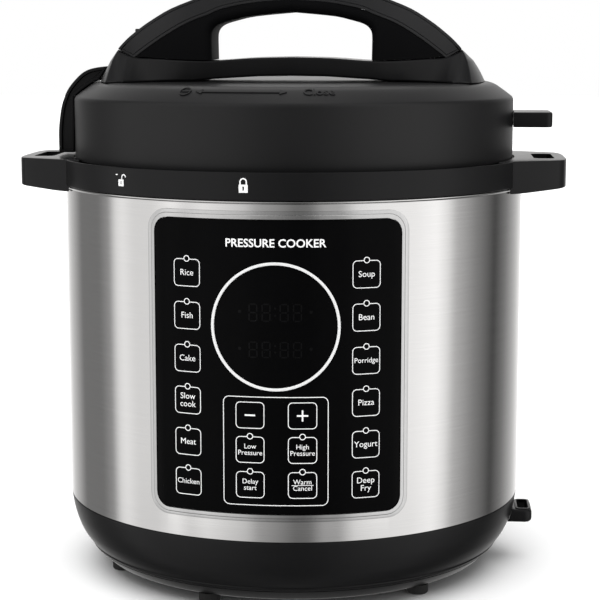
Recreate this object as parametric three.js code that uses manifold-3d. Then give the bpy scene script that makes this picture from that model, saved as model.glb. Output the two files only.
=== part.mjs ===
// A six litre electric pressure cooker, in millimetres, with +Z up and the control panel facing -Y.
// The origin is where the pot's axis meets the worktop, level with the undersides of the feet.
import * as THREE from "three";
import { mergeVertices } from "three/addons/utils/BufferGeometryUtils.js";
import Module from "manifold-3d";

const wasm = await Module();
wasm.setup();

// ---------------------------------------------------------------- driving dimensions

const ROUND_SIDES = 48; // flats around each large turned shell
const SMALL_SIDES = 16; // flats around screws, posts and valves
const GAP = 0.3; // clearance between touching pieces

const BODY_R = 139; // outside of the steel shell
const SHELL_T = 1; // steel shell wall
const COLLAR_R = 141; // outside of the plastic collar
const SEAM_Z = 45.6; // plastic base below, steel shell above
const COLLAR_Z = 236.3; // underside of the collar
const COLLAR_TOP = 252;
const COVER_Z = 6.2; // underside of the bottom cover
const COVER_T = 2.2;
const BOARD_Z = 20; // underside of the power board

const PANEL_HALF_W = 72.4; // bezel, across the front
const PANEL_Z = [57.8, 230.6];
const PANEL_CORNER = 11;
const BEZEL_W = 4.2; // width of the bezel's frame
const PANEL_R = [BODY_R + GAP, BODY_R + 2]; // bezel, from the shell outwards
const DISPLAY_Z = 167.5;
const DISPLAY_R = 35.6;
const DISPLAY_RING_W = 2.3;

const EAR_X = 165; // tip of each carrying handle
const EAR_TOP = 251.8;
const EAR_UNDER = [232.8, 235.4]; // underside, at the root and the tip
const EAR_TIP_Y = 36; // half width at the tip
const EAR_ROOT_Y = 49.5;
const SLOT_X = [145.5, 157.8];
const SLOT_Y = 21;

const LID_R = 133.3; // outside of the lid's wall
const LID_Z = 253.5; // lower edge of the wall
const LID_SHOULDER_Z = 287;
const LID_TOP = 297;
const LID_TOP_R = 122;
const LID_T = 2.6;
const SADDLE_Z = LID_TOP + GAP; // underside of the handle's base

const POT_R = 110; // inside of the inner pot
const POT_FLOOR = 75.6;
const POT_T = 1.6;
const POT_RIM_R = 118;
const RIM_TOP = 248;
const WELL_R = 113.5; // inside of the fixed outer pot
const WELL_T = 1.8;
const WELL_FLOOR = 48.5;
const FLANGE_R = 124; // outer pot's flange, without its teeth
const TOOTH_R = 127.5;
const FLANGE_TOP = 246;
const TEETH = 6;
const TOOTH_ANGLE = 24; // degrees

const VENT = [-72, 60]; // steam release valve, seen from above
const FLOAT = [66, 56]; // float valve
const STUD_R = 80; // circle of the steel plate's studs
const STUD_ANGLES = [60, 180, 300];
const POST_R = 100; // circle of the posts under the outer pot
const POST_ANGLES = [60, 180, 300];
const FOOT_R = 111;
const FOOT_ANGLES = { foot_left: -67, foot_front: -22, foot_right: 45, foot_rear: 165 };

// ---------------------------------------------------------------- materials

const finish = (color, roughness, metalness = 0) =>
  new THREE.MeshStandardMaterial({ color, roughness, metalness });
const blackPlastic = finish(0x1f1f20, 0.45);
const handlePlastic = finish(0x2b2b2d, 0.4);
const panelBlack = finish(0x050506, 0.08);
const bezelGrey = finish(0x8d8f90, 0.3, 0.8);
const brushedSteel = finish(0xc4c3c0, 0.32, 1);
const polishedSteel = finish(0xd8d8d6, 0.18, 1);
const castAluminium = finish(0xa9abac, 0.45, 1);
const silicone = finish(0xdcdcd8, 0.7);
const rubber = finish(0x161616, 0.85);
const clearPlastic = finish(0xdfe5e8, 0.15);
const boardGreen = finish(0x1f5a34, 0.6);
const brassYellow = finish(0xb08d45, 0.35, 1);
const screwZinc = finish(0x9a9a98, 0.35, 1);

// ---------------------------------------------------------------- shaping

// A three.js geometry as a closed solid, turned the right way out.
function solid(geometry) {
  const bare = new THREE.BufferGeometry();
  bare.setAttribute("position", geometry.getAttribute("position"));
  bare.setIndex(geometry.index);
  const merged = mergeVertices(bare, 1e-3);
  const corners = merged.index.array;
  const kept = [];
  for (let i = 0; i < corners.length; i += 3) {
    const [a, b, c] = corners.slice(i, i + 3);
    if (a !== b && b !== c && c !== a) kept.push(a, b, c);
  }
  const build = (order) =>
    new wasm.Manifold(
      new wasm.Mesh({
        numProp: 3,
        vertProperties: merged.attributes.position.array,
        triVerts: new Uint32Array(order),
      }),
    );
  const made = build(kept);
  return made.volume() < 0 ? build(kept.reverse()) : made;
}

// Joins a list of solids into one.
const join = (...pieces) => pieces.reduce((all, next) => all.add(next));

// Cuts each of the later solids from the first.
const cut = (first, ...others) => others.reduce((rest, next) => rest.subtract(next), first);

// A named mesh made from a solid.
function piece(name, body, material) {
  const source = body.getMesh();
  const geometry = new THREE.BufferGeometry();
  geometry.setAttribute("position", new THREE.BufferAttribute(source.vertProperties, 3));
  geometry.setIndex(new THREE.BufferAttribute(source.triVerts, 1));
  geometry.computeVertexNormals();
  const mesh = new THREE.Mesh(geometry, material);
  mesh.name = name;
  return mesh;
}

// A profile of [radius, height] points turned about Z.
function turned(profile, sides = ROUND_SIDES) {
  const closed = profile[0][0] === 0 ? profile : [...profile, profile[0]];
  const points = closed.map(([r, z]) => new THREE.Vector2(r, z));
  return solid(new THREE.LatheGeometry(points, sides).rotateX(Math.PI / 2));
}

// A plain disc, or a ring where the inner radius is given.
function ring(inner, outer, low, high, sides = ROUND_SIDES) {
  return turned(
    [
      [inner, low],
      [outer, low],
      [outer, high],
      [inner, high],
    ],
    sides,
  );
}
const rod = (radius, low, high, sides = SMALL_SIDES) => ring(0, radius, low, high, sides);

// A box between two corners.
function block([x0, x1], [y0, y1], [z0, z1]) {
  const box = new THREE.BoxGeometry(x1 - x0, y1 - y0, z1 - z0);
  return solid(box.translate((x0 + x1) / 2, (y0 + y1) / 2, (z0 + z1) / 2));
}

// A rounded rectangle between two corners, as an outline.
function roundedRectangle([x0, x1], [y0, y1], radius) {
  const shape = new THREE.Shape();
  shape.moveTo(x0 + radius, y0);
  shape.absarc(x1 - radius, y0 + radius, radius, -Math.PI / 2, 0);
  shape.absarc(x1 - radius, y1 - radius, radius, 0, Math.PI / 2);
  shape.absarc(x0 + radius, y1 - radius, radius, Math.PI / 2, Math.PI);
  shape.absarc(x0 + radius, y0 + radius, radius, Math.PI, Math.PI * 1.5);
  return shape;
}

// An outline through [x, y] points.
const outline = (points) => new THREE.Shape(points.map(([x, y]) => new THREE.Vector2(x, y)));

// An outline in plan, extruded between two heights.
function slab(shape, [low, high], curveSegments = 4) {
  const settings = { depth: high - low, bevelEnabled: false, curveSegments };
  return solid(new THREE.ExtrudeGeometry(shape, settings).translate(0, 0, low));
}

// An outline in X and Z, extruded between two values of Y.
function frontSlab(shape, [y0, y1], curveSegments = 4) {
  const settings = { depth: y1 - y0, bevelEnabled: false, curveSegments };
  return solid(new THREE.ExtrudeGeometry(shape, settings).rotateX(Math.PI / 2).translate(0, y1, 0));
}

// Moves a solid in plan.
const shifted = (body, x, y) => body.translate([x, y, 0]);

// The point at an angle from the front, towards +X, on a circle about the axis.
function onCircle(radius, degrees) {
  const angle = THREE.MathUtils.degToRad(degrees);
  return [radius * Math.sin(angle), -radius * Math.cos(angle)];
}

// Teeth standing on a circle about the axis.
function teeth(inner, outer, low, high) {
  const made = [];
  for (let i = 0; i < TEETH; i += 1) {
    const start = THREE.MathUtils.degToRad((360 / TEETH) * i);
    const end = start + THREE.MathUtils.degToRad(TOOTH_ANGLE);
    const shape = new THREE.Shape();
    shape.absarc(0, 0, outer, start, end);
    shape.absarc(0, 0, inner, end, start, true);
    made.push(slab(shape, [low, high], 3));
  }
  return join(...made);
}

// ---------------------------------------------------------------- base

const BASE_PROFILE = [
  [126, 13.5],
  [131.6, 20.5],
  [135.8, 29],
  [138, 38],
  [BODY_R, SEAM_Z],
];

function bottomCover() {
  const boardX = 55;
  const boardY = [-70, -10];
  const standoffs = [];
  for (const x of [-boardX, boardX])
    for (const y of boardY)
      standoffs.push(shifted(rod(3, COVER_Z + COVER_T - 0.5, BOARD_Z - GAP, 12), x, y));
  const dish = turned([
    [0, COVER_Z],
    [118, COVER_Z],
    [125.7, 13.2],
    [122.7, 13.2],
    [117.2, COVER_Z + COVER_T],
    [0, COVER_Z + COVER_T],
  ]);
  const holes = POST_ANGLES.map((a) => shifted(rod(2.2, 0, 20, 12), ...onCircle(POST_R, a)));
  const footHoles = Object.values(FOOT_ANGLES).map((a) =>
    shifted(rod(2.4, 0, 20, 12), ...onCircle(FOOT_R, a)),
  );
  return cut(join(dish, ...standoffs), ...holes, ...footHoles);
}

// A rubber foot with its neck pushed through the cover.
function foot() {
  const profile = [
    [0, 0],
    [5.4, 0],
    [6.4, 1],
    [6.4, COVER_Z - GAP],
    [2, COVER_Z - GAP],
    [2, COVER_Z + COVER_T + GAP],
    [3.4, COVER_Z + COVER_T + GAP],
    [2.4, 10.6],
    [0, 10.6],
  ];
  return turned(profile, 12);
}

function baseHousing() {
  const wall = turned([
    ...BASE_PROFILE,
    [136.2, SEAM_Z],
    [135.3, 38.4],
    [133.3, 30],
    [129.3, 22.2],
    [123.2, 13.5],
  ]);
  return cut(wall, block([-15.3, 15.3], [100, 150], [21.7, 43.3]));
}

// Post that carries the outer pot, with a blind hole for its screw.
function potPost() {
  const low = COVER_Z + COVER_T + GAP;
  const profile = [
    [1.9, low],
    [5, low],
    [5, WELL_FLOOR - GAP],
    [0, WELL_FLOOR - GAP],
    [0, low + 14],
    [1.9, low + 14],
  ];
  return turned(profile.reverse(), SMALL_SIDES);
}

function baseScrew() {
  const head = COVER_Z - GAP;
  const profile = [
    [0, head - 2.2],
    [3, head - 2.2],
    [3.6, head - 1],
    [3.6, head],
    [1.6, head],
    [1.6, head + 14],
    [0, head + 15],
  ];
  return turned(profile, 12);
}

// Ladle holder: a flat loop on the right side of the base.
function ladleSocket() {
  const top = 34;
  const low = 25.4;
  const loop = slab(roundedRectangle([126, 148.8], [-14, 14], 5), [low, top]);
  const hole = slab(roundedRectangle([139.9, 146.6], [-10.5, 10.5], 2), [0, 60], 2);
  const behind = turned([[0, 10], ...BASE_PROFILE.map(([r, z]) => [r + GAP, z]), [0, SEAM_Z]]);
  return cut(loop, hole, behind);
}

// ---------------------------------------------------------------- mains inlet

const INLET_Y = [112, 137.6];
const INLET_PINS = [
  [-7, 31],
  [0, 34.5],
  [7, 31],
];

function powerInlet() {
  const housing = block([-15, 15], INLET_Y, [22, 43]);
  const recess = block([-12, 12], [121, 160], [24.5, 40.5]);
  const pinHoles = INLET_PINS.map(([x, z]) =>
    block([x - 1.3, x + 1.3], [100, 122], [z - 2.8, z + 2.8]),
  );
  return cut(housing, recess, ...pinHoles);
}

const inletPin = ([x, z]) => block([x - 1, x + 1], [110, 132], [z - 2.5, z + 2.5]);

// ---------------------------------------------------------------- shell, collar and pots

// The opening that a panel of this width and height leaves, as a prism along Y on the front side.
const panelPrism = (halfWidth, heights, corner) =>
  frontSlab(roundedRectangle([-halfWidth, halfWidth], heights, corner), [-200, 0]);

const inset = ([low, high], by) => [low + by, high - by];
const WINDOW_HALF_W = 62;
const WINDOW_Z = inset(PANEL_Z, 12.5);

function steelShell() {
  const tube = ring(BODY_R - SHELL_T, BODY_R, SEAM_Z + GAP, COLLAR_Z - GAP);
  return cut(tube, panelPrism(WINDOW_HALF_W, WINDOW_Z, 8));
}

// One carrying handle, on the +X side, with its finger slot. It grows thinner towards its tip.
function ear() {
  const half = [
    [120, EAR_ROOT_Y + 4],
    [134, EAR_ROOT_Y],
    [147, EAR_ROOT_Y - 6],
    [155.5, EAR_TIP_Y + 3],
    [161.5, EAR_TIP_Y - 1],
    [EAR_X - 1, EAR_TIP_Y - 8],
    [EAR_X, EAR_TIP_Y - 20],
  ];
  const shape = outline([...half.map(([x, y]) => [x, -y]), ...half.reverse()]);
  const side = outline([
    [100, EAR_UNDER[0]],
    [136, EAR_UNDER[0]],
    [EAR_X, EAR_UNDER[1]],
    [EAR_X, EAR_TOP],
    [100, EAR_TOP],
  ]);
  const body = slab(shape, [EAR_UNDER[0], EAR_TOP]).intersect(frontSlab(side, [-60, 60]));
  const slot = slab(roundedRectangle(SLOT_X, [-SLOT_Y, SLOT_Y], 4), [200, 300], 3);
  return cut(body, slot);
}

function upperCollar() {
  const inner = 132;
  const band = turned([
    [inner, COLLAR_Z],
    [COLLAR_R, COLLAR_Z],
    [COLLAR_R, COLLAR_TOP - 1.5],
    [COLLAR_R - 1.5, COLLAR_TOP],
    [inner, COLLAR_TOP],
  ]);
  const mouth = rod(inner, 200, 300, ROUND_SIDES);
  const overShell = rod(BODY_R + 2 * GAP, 200, COLLAR_Z, ROUND_SIDES);
  const right = cut(ear(), mouth, overShell);
  return join(band, right, right.mirror([1, 0, 0]));
}

// The fixed outer pot with its bayonet flange.
function outerPot() {
  const outside = WELL_R + WELL_T;
  const well = turned([
    [30, WELL_FLOOR],
    [107, WELL_FLOOR],
    [113, 52],
    [outside, 60],
    [outside, FLANGE_TOP - 5],
    [FLANGE_R, FLANGE_TOP - 5],
    [FLANGE_R, FLANGE_TOP],
    [WELL_R, FLANGE_TOP],
    [WELL_R, 60.6],
    [111.4, 53.2],
    [106.5, WELL_FLOOR + WELL_T],
    [30, WELL_FLOOR + WELL_T],
  ]);
  return join(well, teeth(FLANGE_R - 1, TOOTH_R, FLANGE_TOP - 3, FLANGE_TOP));
}

function innerPot() {
  const rimUnder = FLANGE_TOP + GAP;
  return turned([
    [0, POT_FLOOR - POT_T],
    [96, POT_FLOOR - POT_T],
    [107, 78],
    [POT_R + POT_T, 88],
    [POT_R + POT_T, rimUnder],
    [POT_RIM_R, rimUnder],
    [POT_RIM_R, RIM_TOP],
    [POT_R, RIM_TOP],
    [POT_R, 88.6],
    [106, 79.6],
    [95.6, POT_FLOOR],
    [0, POT_FLOOR],
  ]);
}

// ---------------------------------------------------------------- heater and sensors

const PLATE_Z = [56, POT_FLOOR - POT_T - GAP];

function heatingPlate() {
  return turned(
    [
      [14, PLATE_Z[0]],
      [93, PLATE_Z[0]],
      [96, 59],
      [96, 68],
      [92, PLATE_Z[1]],
      [14, PLATE_Z[1]],
    ],
    36,
  );
}

const heaterTerminal = () => rod(4, WELL_FLOOR + WELL_T + GAP, PLATE_Z[0] - GAP, 12);

const SENSOR_UNDER = 62;

// Thermostat cap that the pot's floor presses down, on its guide stem.
function temperatureSensor() {
  const top = POT_FLOOR - POT_T - GAP;
  const profile = [
    [0, 44],
    [3, 44],
    [3, SENSOR_UNDER],
    [10, SENSOR_UNDER],
    [11.5, SENSOR_UNDER + 1.5],
    [11.5, top - 1],
    [10.5, top],
    [0, top],
  ];
  return turned(profile, SMALL_SIDES);
}

function sensorBracket() {
  return ring(3.6, 36, 46.4, WELL_FLOOR - GAP, 24);
}

// Helix that the spring's wire follows.
class Coil extends THREE.Curve {
  constructor(radius, low, high, turns) {
    super();
    Object.assign(this, { radius, low, high, turns });
  }

  getPoint(t, target = new THREE.Vector3()) {
    const angle = t * this.turns * Math.PI * 2;
    const height = this.low + t * (this.high - this.low);
    return target.set(this.radius * Math.cos(angle), this.radius * Math.sin(angle), height);
  }
}

function sensorSpring() {
  const wire = 0.6;
  const coil = new Coil(7, 49.6, SENSOR_UNDER - wire - GAP, 4);
  const section = new THREE.Shape();
  section.absarc(0, 0, wire, 0, Math.PI * 2);
  const settings = { steps: 48, curveSegments: 3, extrudePath: coil, bevelEnabled: false };
  return solid(new THREE.ExtrudeGeometry(section, settings));
}

const pressureSwitch = () => shifted(join(rod(9, 34, 44, 16), rod(5, 43, WELL_FLOOR - GAP, 16)), -58, 26);

const thermalFuse = () => block([34, 56], [40, 44.5], [51, 55.5]);

// ---------------------------------------------------------------- electronics

const powerBoard = () => block([-60, 60], [-76, -4], [BOARD_Z, BOARD_Z + 1.6]);

const onBoard = BOARD_Z + 1.6 + GAP;

const transformer = () => block([-44, -14], [-54, -26], [onBoard, 45]);

const relay = () => block([10, 32], [-44, -27], [onBoard, 39]);

// Flat ribbon that drops from the control board and turns under to the power board.
function ribbonCable() {
  const shape = outline([
    [-120.2, 69],
    [-120.2, 26],
    [-116, 20.4],
    [-76.4, 20.4],
    [-76.4, 21.4],
    [-115.4, 21.4],
    [-119.2, 26.5],
    [-119.2, 69],
  ]);
  const settings = { depth: 22, bevelEnabled: false };
  const strip = new THREE.ExtrudeGeometry(shape, settings);
  return solid(strip.rotateX(Math.PI / 2).rotateZ(Math.PI / 2).translate(-11, 0, 0));
}

// ---------------------------------------------------------------- control panel

// Part of a cylinder wall inside the panel's outline.
function panelLayer(inner, outer, halfWidth, heights, corner) {
  const wall = ring(inner, outer, PANEL_Z[0] - 5, PANEL_Z[1] + 5);
  return wall.intersect(panelPrism(halfWidth, heights, corner));
}

function panelBezel() {
  const whole = panelLayer(...PANEL_R, PANEL_HALF_W, PANEL_Z, PANEL_CORNER);
  const opening = panelPrism(PANEL_HALF_W - BEZEL_W, inset(PANEL_Z, BEZEL_W), PANEL_CORNER - 2);
  return cut(whole, opening);
}

const GLASS_R = [BODY_R + GAP, BODY_R + 1.6];

function controlPanel() {
  const edge = BEZEL_W + GAP;
  return panelLayer(...GLASS_R, PANEL_HALF_W - edge, inset(PANEL_Z, edge), PANEL_CORNER - 2);
}

function displayRing() {
  const lift = GLASS_R[1] + GAP;
  const disc = (radius) => {
    const shape = new THREE.Shape();
    shape.absarc(0, DISPLAY_Z, radius, 0, Math.PI * 2);
    return frontSlab(shape, [-200, 0], 16);
  };
  const wall = ring(lift, lift + 0.6, PANEL_Z[0], PANEL_Z[1]);
  return cut(wall.intersect(disc(DISPLAY_R)), disc(DISPLAY_R - DISPLAY_RING_W));
}

function panelCarrier() {
  const inside = BODY_R - SHELL_T - GAP;
  const tray = panelLayer(inside - 3, inside, PANEL_HALF_W - 4, inset(PANEL_Z, 4), 8);
  const plug = panelLayer(inside - 1, BODY_R, WINDOW_HALF_W - GAP, inset(WINDOW_Z, GAP), 8);
  return join(tray, plug);
}

const controlBoard = () => block([-42, 42], [-120.6, -119], [70, 216]);

const displayModule = () => block([-29, 29], [-128.5, -120.9], [148, 187]);

// ---------------------------------------------------------------- condensation cup

const CUP_Z = [184, 228];
const CUP_Y = [BODY_R + 3, BODY_R + 25];

// Rails and roof screwed to the back of the shell, which the cup slides into.
function cupBracket() {
  const outer = block([-29, 29], [BODY_R + 0.6, CUP_Y[1] - 1], [219, 233.5]);
  const bay = block([-26.8, 26.8], [BODY_R + 2.4, 200], [223.4, 230.6]);
  const throat = block([-23.6, 23.6], [BODY_R + 2.4, 200], [200, 224]);
  return cut(outer, bay, throat);
}

function condensationCup() {
  const [low, high] = CUP_Z;
  const [front, back] = CUP_Y;
  const wallT = 1.6;
  const bucket = slab(roundedRectangle([-23, 23], [front, back], 5), [low, high + 1]);
  const rim = slab(roundedRectangle([-26.3, 26.3], [front, back], 3), [high - 4, high + 1]);
  const inside = slab(
    roundedRectangle([-23 + wallT, 23 - wallT], [front + wallT, back - wallT], 3.4),
    [low + wallT, high + 5],
  );
  return cut(join(bucket, rim), inside);
}

// ---------------------------------------------------------------- lid

function lidShell() {
  const inside = LID_R - LID_T;
  const cap = turned([
    [0, LID_TOP],
    [LID_TOP_R, LID_TOP],
    [128, 291.3],
    [LID_R + 0.2, LID_SHOULDER_Z],
    [LID_R, LID_Z],
    [inside, LID_Z],
    [inside, LID_SHOULDER_Z - 1.4],
    [126.6, 289],
    [121, LID_TOP - LID_T],
    [0, LID_TOP - LID_T],
  ]);
  const ventHole = shifted(rod(5.6, 280, 310), ...VENT);
  const floatHole = shifted(rod(4.2, 280, 310), ...FLOAT);
  const screwHoles = SADDLE_SCREWS.map((x) => shifted(rod(2.2, 280, 310, 12), x, 0));
  return cut(cap, ventHole, floatHole, ...screwHoles);
}

const SADDLE_SCREWS = [-72, 72];

// Pressed steel lid that carries the seal and locks under the outer pot's flange.
function lidPlate() {
  const skirt = 130;
  const plate = turned([
    [0, 272],
    [103, 272],
    [107, 262],
    [125.8, 262],
    [skirt, 257],
    [skirt, 239.5],
    [skirt - 1.6, 239.5],
    [skirt - 1.6, 256.4],
    [125, 260.4],
    [106, 260.4],
    [102, 270.4],
    [0, 270.4],
  ]);
  const claws = teeth(TOOTH_R + 0.5, skirt - 1, 239.5, 242.4);
  const ventHole = shifted(rod(5.3, 260, 280), ...VENT);
  const floatHole = shifted(rod(4, 260, 280), ...FLOAT);
  return cut(join(plate, claws), ventHole, floatHole);
}

const plateStud = () => rod(4.5, 272 + GAP, LID_TOP - LID_T - GAP, 12);

// Silicone ring with a lip that the pot's rim presses into.
function sealingRing() {
  return turned([
    [108.6, 260],
    [108.6, 254],
    [110.4, 252.6],
    [112, RIM_TOP + 1.2],
    [116, RIM_TOP + GAP],
    [120.4, 250],
    [121, 260],
  ]);
}

const ringRack = () => ring(106.3, 108.3, 255.2, 257.6, 40);

function ventTube() {
  return shifted(ring(2, 5, 262, 311, SMALL_SIDES), ...VENT);
}

// Slotted cap under the vent that keeps food out of it.
function antiBlockShield() {
  const top = 270.4 - GAP;
  const cup = turned(
    [
      [0, 256],
      [6.8, 256],
      [8, 257.4],
      [8, top],
      [6.6, top],
      [6.6, 258],
      [0, 258],
    ],
    SMALL_SIDES,
  );
  const slots = [0, 60, 120].map((a) =>
    block([-12, 12], [-0.9, 0.9], [260, 266]).rotate([0, 0, a]),
  );
  return shifted(cut(cup, ...slots), ...VENT);
}

// Steam release knob with its finger lever, seated over the vent tube.
function steamReleaseHandle() {
  const hub = turned(
    [
      [5.4, LID_TOP + 0.8],
      [13, LID_TOP + 0.8],
      [13, 311],
      [11.5, 319],
      [0, 319],
      [0, 313.5],
      [5.4, 313.5],
    ].reverse(),
    SMALL_SIDES + 8,
  );
  const shape = new THREE.Shape();
  shape.moveTo(-29, -6);
  shape.lineTo(2, -8.5);
  shape.absarc(4, 0, 8.7, -Math.PI / 2, Math.PI / 2);
  shape.lineTo(-29, 6);
  shape.absarc(-29, 0, 6, Math.PI / 2, Math.PI * 1.5);
  const lever = slab(shape, [314.5, 328.5], 6);
  return shifted(join(hub, lever), ...VENT);
}

function floatValve() {
  const profile = [
    [0, 259.5],
    [6, 259.5],
    [6.6, 260.4],
    [6.6, 262.6],
    [3.5, 262.6],
    [3.5, 297.6],
    [2.9, 298.2],
    [0, 298.2],
  ];
  return shifted(turned(profile, SMALL_SIDES), ...FLOAT);
}

const floatGasket = () => shifted(ring(4, 7.4, 268.6, 270.4 - GAP, SMALL_SIDES), ...FLOAT);

// ---------------------------------------------------------------- lid handle

const BRIDGE_TOP = [
  [0, 357],
  [33, 353.6],
  [66, 342.6],
  [82, 333.6],
  [93.6, 324.6],
  [99.7, 318.6],
  [101.2, 316.6],
];
const COVER_UNDER = [
  [92.2, 311.4],
  [77.6, 322.4],
  [62.9, 331.4],
  [50.1, 336.6],
  [40, 340.6],
  [20, 344.2],
  [0, 345.3],
];
const GRIP_HALF_X = 48;
const GRIP_TOP = [338.3, 330.5]; // roof of the finger opening, at the middle and the corners
const BAR_TOP = [311.9, 309.4];

// Keeps a long section of the handle to its plan: narrow over the grip and wide at both ends.
function handlePlan() {
  const half = [
    [0, 22],
    [GRIP_HALF_X, 24],
    [70, 29],
    [95, 40],
    [118.5, 42],
  ];
  const side = [...half.map(([x, y]) => [-x, y]).reverse(), ...half.slice(1)];
  return slab(outline([...side, ...side.map(([x, y]) => [x, -y]).reverse()]), [290, 370]);
}

const handleSection = (points) => frontSlab(outline(points), [-60, 60]).intersect(handlePlan());

function lidHandleCover() {
  const right = [...BRIDGE_TOP, ...COVER_UNDER];
  const left = right.slice(1, -1).map(([x, z]) => [-x, z]);
  return handleSection([...right, ...left.reverse()]);
}

function lidHandleCore() {
  const under = COVER_UNDER.map(([x, z]) => [x - 0.35, z - 0.45]).slice(1, -1).reverse();
  const crown = [[0, COVER_UNDER.at(-1)[1] - 0.45], ...under, [91.2, 311.9], [GRIP_HALF_X, 311.9]];
  const roof = [
    [GRIP_HALF_X, GRIP_TOP[1] - 6],
    [GRIP_HALF_X - 4, GRIP_TOP[1]],
    [24, GRIP_TOP[0] - 2.4],
  ];
  const right = [...crown, ...roof, [0, GRIP_TOP[0]]];
  const left = right.slice(1, -1).map(([x, z]) => [-x, z]);
  return handleSection([...right, ...left.reverse()]);
}

// Base of the handle: the bar under the grip and the flares that run into the lid's shoulder.
function handleSaddle() {
  const top = [
    [0, BAR_TOP[0] - GAP],
    [GRIP_HALF_X, BAR_TOP[1]],
    [GRIP_HALF_X + 0.5, 311.5],
    [91.4, 311.5],
    [92.2, 311],
    [101.4, 316.1],
    [109, 309.5],
    [116, 300.4],
    [118, SADDLE_Z],
    [52, SADDLE_Z],
    [46, 298.6],
    [20, 300.2],
    [0, 300.4],
  ];
  const left = top.slice(1, -1).map(([x, z]) => [-x, z]);
  const section = frontSlab(outline([...top, ...left.reverse()]), [-70, 70]);
  const bores = SADDLE_SCREWS.map((x) => shifted(rod(2.1, 290, 307, 12), x, 0));
  return cut(section.intersect(join(handlePlan(), saddleFoot())).intersect(saddleEnds()), ...bores);
}

// Limits of the flares: a cone about the lid's axis that rounds their outer ends.
const saddleEnds = () =>
  turned([
    [0, SADDLE_Z],
    [118, SADDLE_Z],
    [116.6, 300.4],
    [112, 309.5],
    [109.2, 317],
    [0, 317],
  ]);

// Limits of the flares' feet, which spread over the lid's top towards the front and the back.
function saddleFoot() {
  const half = [
    [52, 25],
    [66, 30],
    [80, 42],
    [92, 57],
    [97, 62],
    [120, 62],
  ];
  const plan = [...half.map(([x, y]) => [x, -y]), ...half.reverse()];
  const slope = outline([
    [-61, SADDLE_Z],
    [61, SADDLE_Z],
    [50, 303],
    [43, 310],
    [40, 317],
    [-40, 317],
    [-43, 310],
    [-50, 303],
  ]);
  const spread = frontSlab(slope, [-130, 130]).rotate([0, 0, 90]);
  const right = slab(outline(plan), [SADDLE_Z, 317]).intersect(spread);
  return join(right, right.mirror([1, 0, 0]));
}

function saddleScrew() {
  const head = LID_TOP - LID_T - GAP;
  const profile = [
    [0, head - 2.6],
    [3.2, head - 2.6],
    [3.8, head - 1.4],
    [3.8, head],
    [1.7, head],
    [1.7, 305],
    [0, 306],
  ];
  return turned(profile, 12);
}

// Curved arm on the left of the lid: it drops into the slot of a carrying handle to park the lid.
function lidStandArm() {
  const shape = outline([
    [-143.4, LID_Z],
    [-143.4, 267],
    [-141.9, 279.2],
    [-140, 286],
    [-136.6, 293],
    [-130, 300.4],
    [-124.6, 303.8],
    [-118.4, 305.3],
    [-112.7, 305.9],
    [-116.5, 300.7],
    [-118.5, SADDLE_Z],
    [-122.4, SADDLE_Z],
    [-128.6, 291.7],
    [-134.2, LID_SHOULDER_Z + 0.4],
    [-133.9, LID_Z],
  ]);
  return frontSlab(shape, [-13, 13]);
}

// Flat tab on the right of the lid, for the other carrying handle.
function lidStandTab() {
  const end = 156.4;
  const shape = outline([
    [126, -18],
    [end - 4, -18],
    [end, -14],
    [end, 14],
    [end - 4, 18],
    [126, 18],
  ]);
  return cut(slab(shape, [270, 279]), rod(LID_R + 0.2 + 2 * GAP, 250, 300, ROUND_SIDES));
}

// ---------------------------------------------------------------- assembly

const cooker = new THREE.Group();

// Adds a piece made on the axis, turned to its own place.
function placed(group, name, body, material, [x, y] = [0, 0], turn = 0) {
  const mesh = piece(name, body, material);
  mesh.position.set(x, y, 0);
  mesh.rotation.z = THREE.MathUtils.degToRad(turn);
  group.add(mesh);
}

const base = new THREE.Group();
placed(base, "bottom_cover", bottomCover(), blackPlastic);
placed(base, "base_housing", baseHousing(), blackPlastic);
placed(base, "ladle_socket", ladleSocket(), blackPlastic);
for (const [name, angle] of Object.entries(FOOT_ANGLES))
  placed(base, name, foot(), rubber, onCircle(FOOT_R, angle));
POST_ANGLES.forEach((angle, i) => {
  placed(base, `pot_post_${i + 1}`, potPost(), castAluminium, onCircle(POST_R, angle));
  placed(base, `base_screw_${i + 1}`, baseScrew(), screwZinc, onCircle(POST_R, angle));
});

placed(base, "power_inlet", powerInlet(), blackPlastic);
["live", "earth", "neutral"].forEach((wire, i) =>
  placed(base, `inlet_pin_${wire}`, inletPin(INLET_PINS[i]), brassYellow),
);

const body = new THREE.Group();
placed(body, "steel_shell", steelShell(), brushedSteel);
placed(body, "upper_collar", upperCollar(), blackPlastic);
placed(body, "outer_pot", outerPot(), castAluminium);
placed(body, "inner_pot", innerPot(), polishedSteel);
placed(body, "condensation_cup_bracket", cupBracket(), blackPlastic);
placed(body, "condensation_cup", condensationCup(), clearPlastic);

const heater = new THREE.Group();
placed(heater, "heating_plate", heatingPlate(), castAluminium);
placed(heater, "heater_terminal_left", heaterTerminal(), brassYellow, [-62, 0]);
placed(heater, "heater_terminal_right", heaterTerminal(), brassYellow, [62, 0]);
placed(heater, "temperature_sensor", temperatureSensor(), polishedSteel);
placed(heater, "sensor_spring", sensorSpring(), screwZinc);
placed(heater, "sensor_bracket", sensorBracket(), screwZinc);
placed(heater, "pressure_switch", pressureSwitch(), blackPlastic);
placed(heater, "thermal_fuse", thermalFuse(), castAluminium);

const electronics = new THREE.Group();
placed(electronics, "power_board", powerBoard(), boardGreen);
placed(electronics, "transformer", transformer(), brassYellow);
placed(electronics, "relay", relay(), blackPlastic);
placed(electronics, "ribbon_cable", ribbonCable(), clearPlastic);
placed(electronics, "control_board", controlBoard(), boardGreen);
placed(electronics, "display_module", displayModule(), panelBlack);

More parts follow.
